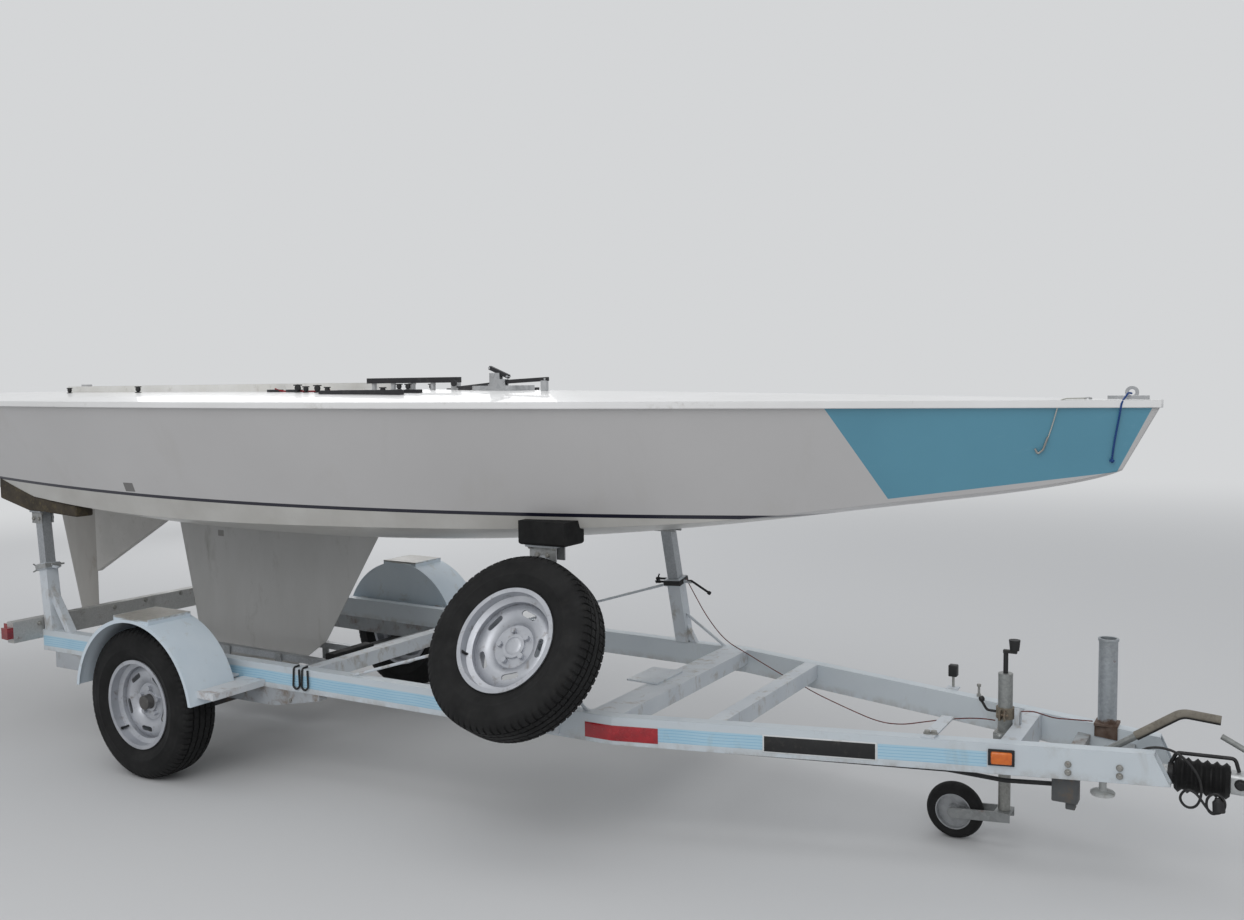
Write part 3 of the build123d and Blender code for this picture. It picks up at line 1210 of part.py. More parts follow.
# Overrun coupling: mounts between the rails, sliding drawbar with its ball head, gaiter and levers
with BuildPart() as coupling_mount:
    for mount_x in MOUNTS_X:
        with BuildSketch(Plane.XY.offset(MOUNT_FOOT)):
            add(bay_plan(mount_x, MOUNT_LENGTH, RAIL_WIDTH))
        extrude(amount=MOUNT_DEPTH)
    with BuildSketch(Plane.YZ.offset(MOUNTS_X[0] - OVERRUN)):
        with Locations((0, COUPLING_Z)):
            Circle(DRAWBAR_RADIUS)
    extrude(amount=NOSE_X - MOUNTS_X[0], mode=Mode.SUBTRACT)
finish(coupling_mount, "coupling_mount")
with BuildPart() as head:
    with BuildSketch(Plane.YZ.offset(DRAWBAR_REAR)):
        with Locations((0, COUPLING_Z)):
            Circle(DRAWBAR_RADIUS)
    extrude(amount=GAITER_FRONT - DRAWBAR_REAR)
    with BuildSketch(Plane.YZ.offset(GAITER_FRONT)):
        with Locations((0, COUPLING_Z)):
            RectangleRounded(HEAD_WIDTH, HEAD_WIDTH, HEAD_ROUND)
    extrude(amount=BALL_X - GAITER_FRONT)
    with BuildSketch(Plane.XY.offset(COUPLING_Z - HEAD_WIDTH / 2)):
        with Locations((BALL_X, 0)):
            Circle(HEAD_FRONT - BALL_X)
    extrude(amount=HEAD_WIDTH)
    with Locations((BALL_X, 0, BALL_Z)):
        Sphere(BALL_RADIUS + BALL_FIT, mode=Mode.SUBTRACT)
    with BuildSketch(Plane.XY.offset(COUPLING_Z - HEAD_WIDTH / 2)):
        with Locations((BALL_X, 0)):
            Circle(BALL_RADIUS + BALL_FIT)
    extrude(amount=BALL_Z - COUPLING_Z + HEAD_WIDTH / 2, mode=Mode.SUBTRACT)
finish(head, "coupling_head")
with BuildPart() as gaiter:
    pitch = (GAITER_FRONT - GAITER_REAR) / GAITER_FOLDS
    outline = [(GAITER_REAR, COUPLING_Z + DRAWBAR_RADIUS)]
    for fold in range(GAITER_FOLDS):
        fold_x = GAITER_REAR + pitch * fold
        outline.append((fold_x + VALLEY * pitch, COUPLING_Z + GAITER_RADIUS - GAITER_DEPTH))
        outline.append((fold_x + pitch / 2, COUPLING_Z + GAITER_RADIUS))
        outline.append((fold_x + pitch - VALLEY * pitch, COUPLING_Z + GAITER_RADIUS - GAITER_DEPTH))
    outline.append((GAITER_FRONT, COUPLING_Z + DRAWBAR_RADIUS))
    with BuildSketch(Plane.XZ):
        with BuildLine():
            Polyline(*outline, close=True)
        make_face()
    revolve(axis=Axis((0, 0, COUPLING_Z), (1, 0, 0)))
finish(gaiter, "coupling_gaiter")
with BuildPart() as levers:
    for foot_x, carrier_half, route, bend, radius in (
        (COUPLING_LEVER_X, HEAD_WIDTH / 2, COUPLING_LEVER, COUPLING_LEVER_BEND, COUPLING_LEVER_RADIUS),
        (BRAKE_LEVER_X, DRAWBAR_RADIUS, BRAKE_LEVER, BRAKE_LEVER_BEND, BRAKE_LEVER_RADIUS),
    ):
        foot_z = COUPLING_Z + carrier_half
        lug_top = foot_z + LUG_HEIGHT
        lug_reach = radius + LUG_CHEEK
        block((foot_x - lug_reach, foot_x + lug_reach), (-LUG_HALF, LUG_HALF), (foot_z - LUG_SINK, lug_top))
        path_points = [(foot_x, 0, lug_top - LUG_CHEEK)] + [(x, 0, z) for x, z in route]
        first_run = Vector(*path_points[1]) - Vector(*path_points[0])
        with BuildLine() as lever_path:
            FilletPolyline(*path_points, radius=bend)
        with BuildSketch(Plane(origin=path_points[0], z_dir=first_run)):
            Circle(radius)
        sweep(path=lever_path.line)
    add(head.part, mode=Mode.SUBTRACT)
finish(levers, "coupling_levers")

# Mast post on the port rail, standing on its saddle
with BuildPart() as mast_post:
    post_y = rail_y(MAST_POST_X) - RAIL_WIDTH / 2
    saddle_top = RAIL_TOP_Z + SADDLE_THICK
    saddle_span = (MAST_POST_X - SADDLE_LENGTH / 2, MAST_POST_X + SADDLE_LENGTH / 2)
    block(saddle_span, (post_y - SADDLE_HALF, post_y + SADDLE_HALF), (RAIL_TOP_Z, saddle_top))
    with BuildSketch(Plane.XY.offset(RAIL_FOOT + SADDLE_FOOT)):
        add(rail_strip(*saddle_span, SADDLE_SIDE, RAIL_WIDTH))
    extrude(amount=saddle_top - RAIL_FOOT - SADDLE_FOOT)
    with BuildSketch(Plane.XY.offset(saddle_top)):
        with Locations((MAST_POST_X, post_y)):
            Circle(MAST_POST_RADIUS)
    extrude(amount=MAST_POST_HEIGHT)
    with BuildSketch(Plane.XY.offset(saddle_top + MAST_POST_HEIGHT - MAST_RING_HEIGHT)):
        with Locations((MAST_POST_X, post_y)):
            Circle(MAST_POST_RADIUS + MAST_RING_PROUD)
    extrude(amount=MAST_RING_HEIGHT)
    with BuildSketch(Plane.XY.offset(saddle_top)):
        with Locations((MAST_POST_X, post_y)):
            Circle(MAST_POST_RADIUS - MAST_POST_WALL)
    extrude(amount=MAST_POST_HEIGHT, mode=Mode.SUBTRACT)
    add(rails.part, mode=Mode.SUBTRACT)
finish(mast_post, "mast_post")

# Deck tracks: a raised bar on posts ahead of the cockpit and low tracks beside it
with BuildPart() as tracks:
    bar_foot = crown_z(BAR_REAR) + BAR_CLEAR
    block((BAR_REAR, BAR_FRONT), (-BAR_WIDTH / 2, BAR_WIDTH / 2), (bar_foot, bar_foot + BAR_HEIGHT))
    for index in range(BAR_POSTS):
        post_x = BAR_REAR + BAR_WIDTH + index * (BAR_FRONT - BAR_REAR - 2 * BAR_WIDTH) / (BAR_POSTS - 1)
        block(
            (post_x - BAR_POST_HALF, post_x + BAR_POST_HALF), (-BAR_POST_HALF, BAR_POST_HALF),
            (bar_foot - 2 * BAR_CLEAR, bar_foot),
        )
    for track_y in TRACKS_Y:
        both_sides(
            (TRACK_REAR, TRACK_FRONT), (track_y - TRACK_WIDTH / 2, track_y + TRACK_WIDTH / 2),
            (sheer_z(TRACK_REAR), crown_z(TRACK_REAR)),
        )
    add(deck.part, mode=Mode.SUBTRACT)
finish(tracks, "deck_tracks")

# Deck fittings: mast collar, rudder bearing and bow eye
with BuildPart() as fittings:
    with BuildSketch(Plane.XY.offset(sheer_z(MAST_X))):
        with Locations((MAST_X, 0)):
            RectangleRounded(
                MAST_HOLE_LENGTH + 2 * COLLAR_RIM, MAST_HOLE_WIDTH + 2 * COLLAR_RIM,
                MAST_HOLE_ROUND + COLLAR_RIM,
            )
            RectangleRounded(MAST_HOLE_LENGTH, MAST_HOLE_WIDTH, MAST_HOLE_ROUND, mode=Mode.SUBTRACT)
    extrude(amount=CAMBER + COLLAR_ABOVE)
    with BuildSketch(Plane.XY.offset(sheer_z(STOCK_X))):
        with Locations((STOCK_X, 0)):
            Circle(BEARING_RADIUS)
            Circle(STOCK_BORE, mode=Mode.SUBTRACT)
    extrude(amount=STOCK_TOP - SEAT_GAP - sheer_z(STOCK_X))
    bow_plate_top = sheer_z(BOW_X) + BOW_PLATE_ABOVE
    block(
        (BOW_X - BOW_PLATE_REAR, BOW_X - BOW_PLATE_FRONT), (-BOW_PLATE / 2, BOW_PLATE / 2),
        (sheer_z(BOW_X) - BOW_PLATE_SINK, bow_plate_top),
    )
    with BuildSketch(Plane.XZ.offset(-EYE_THICK / 2)):
        with Locations((EYE_X, bow_plate_top + EYE_HOLE)):
            Circle(EYE_RADIUS)
            Circle(EYE_HOLE, mode=Mode.SUBTRACT)
    extrude(amount=EYE_THICK)
    add(deck.part, mode=Mode.SUBTRACT)
finish(fittings, "deck_fittings")
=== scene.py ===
"""Looks of the keelboat on its road trailer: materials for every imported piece, and the small pieces on them."""
import math

import bmesh
import bpy
from mathutils import Matrix, Vector
from mathutils.bvhtree import BVHTree


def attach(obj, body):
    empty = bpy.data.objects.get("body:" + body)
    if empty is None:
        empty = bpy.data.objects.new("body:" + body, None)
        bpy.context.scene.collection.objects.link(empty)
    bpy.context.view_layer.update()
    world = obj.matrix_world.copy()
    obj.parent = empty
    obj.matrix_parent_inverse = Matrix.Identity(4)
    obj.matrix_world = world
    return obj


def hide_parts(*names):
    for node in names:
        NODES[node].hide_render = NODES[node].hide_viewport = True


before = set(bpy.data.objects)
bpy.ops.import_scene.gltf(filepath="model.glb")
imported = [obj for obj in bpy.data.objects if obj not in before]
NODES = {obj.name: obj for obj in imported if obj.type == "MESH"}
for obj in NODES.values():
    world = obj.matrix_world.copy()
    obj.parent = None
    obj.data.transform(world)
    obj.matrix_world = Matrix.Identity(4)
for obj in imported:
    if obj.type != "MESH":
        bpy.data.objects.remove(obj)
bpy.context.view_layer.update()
SIDES = (("port", 1), ("starboard", -1))

# The drawing frame is the trailer's own: origin midway between the wheels at axle height, in millimetres
NOSE_DOWN = math.radians(1.3)
OFFSET = Vector((-0.591112, 0.018208, 0.324))
FROM_MM = Matrix.Translation(OFFSET) @ Matrix.Rotation(NOSE_DOWN, 4, "Y") @ Matrix.Scale(0.001, 4)
TO_MM = FROM_MM.inverted()

# Places taken from the part: the rails' outsides, the wheels, and the foot of the raised bar over its posts
RAIL_REAR_X, RAIL_REAR_Y, BEND_X, BEND_Y, NOSE_X, NOSE_Y = -1003, 683, 2180, 585, 3905, 106.8
WHEEL_Y, JOCKEY_X = 822, 3388
SPARE = Matrix.Translation((1889, -746.96, 428)) @ Matrix.Rotation(math.radians(-32.5), 4, "X")
SPARE_FACE = SPARE @ Matrix.Rotation(math.pi, 4, "Z")
BAR_DEPTH = 0.024
BAR_FOOT = max((TO_MM @ v.co).z for v in NODES["deck_tracks"].data.vertices) / 1000 - BAR_DEPTH

# Turn of the rims, in degrees, as they stand in the photo
ROAD_RIM_TURN, SPARE_RIM_TURN = -16, 36


def put(name, data):
    """New object in the scene."""
    new = bpy.data.objects.new(name, data)
    bpy.context.scene.collection.objects.link(new)
    return new


def axes(x, y, z, place):
    """Matrix of a frame with these axes at a place."""
    return Matrix(((*x, 0), (*y, 0), (*z, 0), (*place, 1))).transposed()


def make_camera():
    """Camera at the photo's place, solved from the wheels and the rails."""
    turn, tip, roll = 0.53937484, 0.05758213, -0.03156773
    focal_px, photo_px, sensor_mm = 1122.39, 1244, 36
    ahead = Vector((-math.sin(turn) * math.cos(tip), math.cos(turn) * math.cos(tip), -math.sin(tip)))
    level = Vector((math.cos(turn), math.sin(turn), 0))
    upward = level.cross(ahead)
    right = math.cos(roll) * level + math.sin(roll) * upward
    up = math.cos(roll) * upward - math.sin(roll) * level
    data = bpy.data.cameras.new("camera")
    data.sensor_width, data.lens = sensor_mm, sensor_mm * focal_px / photo_px
    data.clip_end = 300
    camera = put("camera", data)
    camera.matrix_world = axes(right, up, -ahead, OFFSET + Vector((4.22593, -3.87047, 1.25146)))
    bpy.context.scene.camera = camera


make_camera()


# Materials
def rgb(red, green, blue):
    """Linear colour of an sRGB one given from 0 to 255."""
    def linear(value):
        value /= 255
        return value / 12.92 if value <= 0.04045 else ((value + 0.055) / 1.055) ** 2.4
    return (linear(red), linear(green), linear(blue), 1)


class Nodes:
    """Node tree of a material or of the world, built from nothing."""

    def __init__(self, owner):
        owner.use_nodes = True
        self.tree = owner.node_tree
        self.tree.nodes.clear()

    def give(self, socket, value):
        """Links an output to an input, or sets the input."""
        if isinstance(value, bpy.types.NodeSocket):
            self.tree.links.new(value, socket)
        else:
            socket.default_value = value

    def node(self, kind, *values, **settings):
        """New node: values go to its inputs in order, settings to inputs or properties by name."""
        new = self.tree.nodes.new(kind)
        for key, value in settings.items():
            if key in new.inputs:
                self.give(new.inputs[key], value)
            else:
                setattr(new, key, value)
        for socket, value in zip(new.inputs, values):
            self.give(socket, value)
        return new

    def math(self, operation, *values):
        return self.node("ShaderNodeMath", *values, operation=operation).outputs[0]

    def plus(self, first, second):
        return self.math("ADD", first, second)

    def minus(self, first, second):
        return self.math("SUBTRACT", first, second)

    def times(self, first, *rest):
        for other in rest:
            first = self.math("MULTIPLY", first, other)
        return first


class Shade(Nodes):
    """One node material. Its textures follow the drawing frame, in metres."""

    def __init__(self, name, metal=0.0, coat=0.0, specular=0.5, bevel=0.0):
        self.material = bpy.data.materials.new(name)
        super().__init__(self.material)
        self.shader = self.node("ShaderNodeBsdfPrincipled", Metallic=metal)
        self.shader.inputs["Coat Weight"].default_value = coat
        self.shader.inputs["Specular IOR Level"].default_value = specular
        self.node("ShaderNodeOutputMaterial", self.shader.outputs[0])
        place = self.node("ShaderNodeTexCoord").outputs["Object"]
        shift = self.node("ShaderNodeVectorMath", place, -OFFSET, operation="ADD").outputs[0]
        turn = self.node("ShaderNodeVectorRotate", shift, rotation_type="Y_AXIS", Angle=-NOSE_DOWN)
        self.place = turn.outputs[0]
        self.x, self.y, self.z = self.node("ShaderNodeSeparateXYZ", self.place).outputs
        self.normal = None
        if bevel:
            self.normal = self.node("ShaderNodeBevel", samples=4, Radius=bevel).outputs[0]

    def noise(self, scale, detail, rough=0.55, stretch=(1, 1, 1), warp=0.0):
        """Noise from 0 to 1; a larger stretch along an axis draws it out there."""
        squeeze = tuple(1 / s for s in stretch)
        place = self.node("ShaderNodeVectorMath", self.place, squeeze, operation="MULTIPLY").outputs[0]
        return self.node("ShaderNodeTexNoise", place, Scale=scale, Detail=detail, Roughness=rough,
                         Distortion=warp).outputs["Fac"]

    def remap(self, value, low, high, to_low=0.0, to_high=1.0):
        """Value taken from one range to another, and held at its ends."""
        return self.node("ShaderNodeMapRange", value, low, high, to_low, to_high, clamp=True).outputs[0]

    def mix(self, share, first, second):
        new = self.node("ShaderNodeMix", data_type="RGBA")
        for index, value in ((0, share), (6, first), (7, second)):
            self.give(new.inputs[index], value)
        return new.outputs[2]

    def band(self, value, low, high, soft=0.0004):
        """1 between low and high, with soft edges."""
        rise = self.remap(value, low - soft, low + soft)
        fall = self.remap(value, high - soft, high + soft, 1, 0)
        return self.times(rise, fall)

    def facing(self, axis):
        """How far the surface faces along an axis, from -1 to 1."""
        normal = self.node("ShaderNodeNewGeometry").outputs["Normal"]
        return self.node("ShaderNodeSeparateXYZ", normal).outputs[axis]

    def relief(self, height, strength, depth):
        new = self.node("ShaderNodeBump", Strength=strength, Distance=depth, Height=height)
        if self.normal is not None:
            self.give(new.inputs["Normal"], self.normal)
        self.normal = new.outputs[0]

    def finish(self, colour, rough):
        self.give(self.shader.inputs["Base Color"], colour)
        self.give(self.shader.inputs["Roughness"], rough)
        if self.normal is not None:
            self.give(self.shader.inputs["Normal"], self.normal)
        return self.material


def paint(name, light, dark, dirt, dirt_share, rough=(0.35, 0.5), grain=0.12, scale=5.0, streak=1.0,
          coat=0.0, bevel=0.002, metal=0.0, grain_scale=260.0, over=None):
    """Painted, moulded or plated surface: two tones in soft patches, dirt, what over adds, and a fine grain."""
    s = Shade(name, metal=metal, coat=coat, bevel=bevel)
    patches = s.noise(scale, 5, 0.6, (1, 1, streak))
    colour = s.mix(s.remap(patches, 0.3, 0.7), rgb(*light), rgb(*dark))
    marks = s.noise(scale * 3.1, 7, 0.68, (1, 1, streak), 0.4)
    dirty = s.remap(marks, 0.62 - 0.25 * dirt_share, 0.84 - 0.2 * dirt_share)
    colour = s.mix(dirty, colour, rgb(*dirt))
    if over:
        colour = over(s, colour)
    s.relief(s.noise(grain_scale, 3), grain, 0.0006)
    return s.finish(colour, s.remap(s.noise(scale * 1.7, 4), 0.3, 0.7, *rough))


def worn_top(s, colour):
    """Bare brown-grey patch that feet leave on top of a fender."""
    edge = s.times(s.minus(s.noise(24.0, 6, 0.7), 0.5), 0.05)
    x = s.plus(s.x, edge)
    patch = s.times(s.band(x, -0.085, 0.145, 0.008), s.remap(s.z, 0.374, 0.38))
    brown = s.mix(s.remap(s.noise(40.0, 6, 0.7), 0.35, 0.7), rgb(150, 143, 130), rgb(116, 106, 92))
    return s.mix(s.times(patch, 0.85), colour, brown)


def fin_patch(s, colour):
    """Small darker patch low on the fin's starboard side."""
    spot = s.times(s.band(s.x, -0.52, -0.474, 0.002), s.band(s.z, 0.586, 0.617, 0.002),
                   s.remap(s.y, 0.0, -0.004))
    return s.mix(spot, colour, rgb(132, 130, 126))


def pale_posts(s, colour):
    """The raised bar's posts are bare alloy below the black bar."""
    post = s.times(s.band(s.y, -0.02, 0.02), s.remap(s.z, BAR_FOOT + 0.0005, BAR_FOOT - 0.0005))
    return s.mix(post, colour, rgb(176, 177, 178))


def painted_shade_below(s, colour):
    """Painted shade: black on whatever faces down."""
    return s.mix(s.remap(s.facing(2), -0.2, -0.5), colour, rgb(26, 25, 24))


def hull_paint():
    """White topsides, pale bottom, the dark line between them and the blue panel at the bow."""
    s = Shade("hull_paint", coat=0.25, bevel=0.003)
    s.shader.inputs["Coat Roughness"].default_value = 0.12
    colour = s.mix(s.remap(s.noise(1.1, 3), 0.3, 0.7), rgb(196, 194, 193), rgb(189, 187, 186))
    marks = s.noise(3.0, 6, 0.62, (1, 1, 2.6), 0.5)
    colour = s.mix(s.remap(marks, 0.56, 0.9, 0, 0.35), colour, rgb(168, 163, 152))
    # The bottom paint and its dark line, which rises a little towards the bow and the stern
    square = s.math("POWER", s.minus(s.x, 1.4), 2.0)
    level = s.minus(s.z, s.times(square, 0.0065))
    under = s.mix(s.remap(s.noise(4.0, 5), 0.35, 0.75), rgb(196, 194, 189), rgb(180, 177, 171))
    under = s.mix(s.remap(s.noise(1.7, 6, 0.65, (2, 1, 1), 0.3), 0.58, 0.82, 0, 0.5), under, rgb(150, 146, 134))
    colour = s.mix(s.remap(level, 0.8575, 0.8565), colour, under)
    colour = s.mix(s.band(level, 0.8525, 0.8665), colour, rgb(20, 20, 38))
    # The blue panel, between its slanting rear edge, its lower edge and the stem
    ahead = s.plus(s.x, s.times(s.z, 0.5276))
    low = s.minus(s.z, s.times(s.minus(s.x, 3.033), 0.1458))
    stem = s.minus(s.minus(s.x, 3.728), s.times(s.minus(s.z, 1.050), 0.487))
    panel = s.times(s.remap(ahead, 3.5302, 3.5306), s.remap(low, 0.9422, 0.943), s.remap(stem, 0.0005, -0.0005))
    blue = s.mix(s.remap(s.noise(1.6, 4), 0.3, 0.75), rgb(92, 152, 174), rgb(84, 142, 164))
    scuffs = s.remap(s.noise(30, 6, 0.7, (5, 1, 1)), 0.62, 0.85, 0, 0.3)
    blue = s.mix(scuffs, blue, rgb(130, 178, 196))
    colour = s.mix(panel, colour, blue)
    # A grey patch on the starboard side
    patch = s.times(s.band(s.x, -0.256, -0.19), s.band(s.z, 0.889, 0.929), s.remap(s.y, 0.0, -0.01))
    colour = s.mix(patch, colour, rgb(112, 110, 108))
    s.relief(s.noise(5.0, 3), 0.05, 0.004)
    s.relief(s.noise(320, 2), 0.04, 0.0004)
    return s.finish(colour, s.remap(s.noise(2.3, 4), 0.3, 0.7, 0.3, 0.42))


def rail_paint():
    """White box rails with a pale blue band of thin wavy lines along their outsides, and road dirt."""
    s = Shade("rail_paint", coat=0.1, bevel=0.0025)
    colour = s.mix(s.remap(s.noise(2.0, 4), 0.3, 0.7), rgb(208, 215, 219), rgb(196, 204, 210))
    facing = s.facing(1)
    side = s.remap(s.math("ABSOLUTE", facing), 0.8, 0.9)
    side = s.times(side, s.remap(s.times(facing, s.y), 0.0, 0.01))
    runs = s.math("MAXIMUM", s.band(s.x, -1.0, 1.62), s.band(s.x, 2.34, 2.692))
    runs = s.math("MAXIMUM", runs, s.band(s.x, 3.056, 3.385))
    base = s.times(s.band(s.z, 0.102, 0.152, 0.001), side, runs)
    pale = s.mix(s.remap(s.noise(3.0, 4), 0.3, 0.7), rgb(178, 210, 226), rgb(160, 198, 218))
    colour = s.mix(base, colour, pale)
    waves = s.plus(s.z, s.times(s.math("SINE", s.times(s.x, 23.0)), 0.0012))
    waves = s.plus(waves, s.times(s.noise(9.0, 2, 0.5, (4, 1, 1)), 0.004))
    lines = s.math("FRACT", s.times(s.minus(waves, 0.104), 96.0))
    lines = s.times(s.remap(lines, 0.05, 0.3, 1, 0), s.remap(s.noise(6.0, 4, 0.6, (6, 1, 1)), 0.3, 0.5))
    colour = s.mix(s.times(lines, base, 0.75), colour, rgb(112, 172, 206))
    dirt = s.remap(s.noise(7.0, 7, 0.68, (1, 1, 1.6), 0.5), 0.58, 0.86, 0, 0.5)
    colour = s.mix(dirt, colour, rgb(150, 140, 122))
    low_down = s.times(s.remap(s.z, 0.11, 0.078), s.remap(s.noise(14.0, 6, 0.7), 0.42, 0.7, 0, 0.6))
    colour = s.mix(low_down, colour, rgb(136, 120, 98))
    chips = s.remap(s.noise(60.0, 5, 0.7), 0.72, 0.76)
    colour = s.mix(s.times(chips, 0.5), colour, rgb(120, 84, 58))
    s.relief(s.noise(180.0, 3), 0.08, 0.0006)
    return s.finish(colour, s.remap(s.noise(12.0, 4), 0.3, 0.7, 0.38, 0.58))


def rubber(name, scale=9.0):
    """Dark tyre rubber with a dusty bloom."""
    s = Shade(name, specular=0.35)
    colour = s.mix(s.remap(s.noise(scale, 5, 0.6), 0.3, 0.7), rgb(11, 11, 12), rgb(20, 20, 20))
    dust = s.remap(s.noise(scale * 2.2, 7, 0.7, warp=0.6), 0.55, 0.88, 0, 0.4)
    colour = s.mix(dust, colour, rgb(52, 49, 45))
    s.relief(s.noise(420.0, 3), 0.25, 0.0006)
    s.relief(s.noise(36.0, 5, 0.6), 0.12, 0.002)
    return s.finish(colour, s.remap(s.noise(scale * 1.4, 4), 0.3, 0.7, 0.62, 0.85))


def zinc(name, light, dark, rough, spangle, rust=0.0, rust_below=None):
    """Galvanised or cast metal with a spangle, and rust in spots or below a height where asked."""
    s = Shade(name, metal=0.6, bevel=0.0015)
    cells = s.node("ShaderNodeTexVoronoi", s.place, Scale=spangle)
    tone = s.node("ShaderNodeSeparateColor", cells.outputs["Color"]).outputs[0]
    colour = s.mix(s.remap(tone, 0.0, 1.0, 0.25, 0.75), rgb(*light), rgb(*dark))
    colour = s.mix(s.remap(s.noise(6.0, 6, 0.65), 0.55, 0.8, 0, 0.6), colour, rgb(108, 104, 98))
    dullness = s.remap(s.noise(11.0, 5), 0.3, 0.7, *rough)
    if rust:
        spots = s.remap(s.noise(15.0, 8, 0.7, warp=0.4), 0.7 - 0.3 * rust, 0.82 - 0.25 * rust)
        colour = s.mix(spots, colour, rgb(112, 66, 38))
        dullness = s.math("MAXIMUM", dullness, s.times(spots, 0.8))
    if rust_below:
        edge = s.plus(s.z, s.times(s.minus(s.noise(18.0, 6, 0.7), 0.5), 0.06))
        low = s.remap(edge, rust_below, rust_below - 0.01)
        brown = s.mix(s.remap(s.noise(34.0, 6), 0.35, 0.65), rgb(128, 112, 102), rgb(100, 82, 72))
        colour = s.mix(low, colour, brown)
        dullness = s.math("MAXIMUM", dullness, s.times(low, 0.8))
    s.relief(s.noise(300.0, 3), 0.15, 0.0005)
    return s.finish(colour, dullness)


def rope(name, light, dark, turns=900.0):
    """Laid rope or insulated wire: fine slanting strands in two tones; the darker tone lies in the grooves
    between the strands and is painted shade.
    """
    s = Shade(name, specular=0.3)
    slant = s.plus(s.times(s.z, turns), s.times(s.plus(s.x, s.y), turns))
    strands = s.remap(s.math("SINE", slant), -0.6, 0.8)
    # Painted shade: the dark tone falls in the grooves of the strands' relief
    colour = s.mix(strands, rgb(*dark), rgb(*light))
    colour = s.mix(s.remap(s.noise(40.0, 4), 0.45, 0.8, 0, 0.4), colour, rgb(*dark))
    s.relief(strands, 0.35, 0.0006)
    return s.finish(colour, s.remap(s.noise(30.0, 3), 0.3, 0.7, 0.7, 0.9))


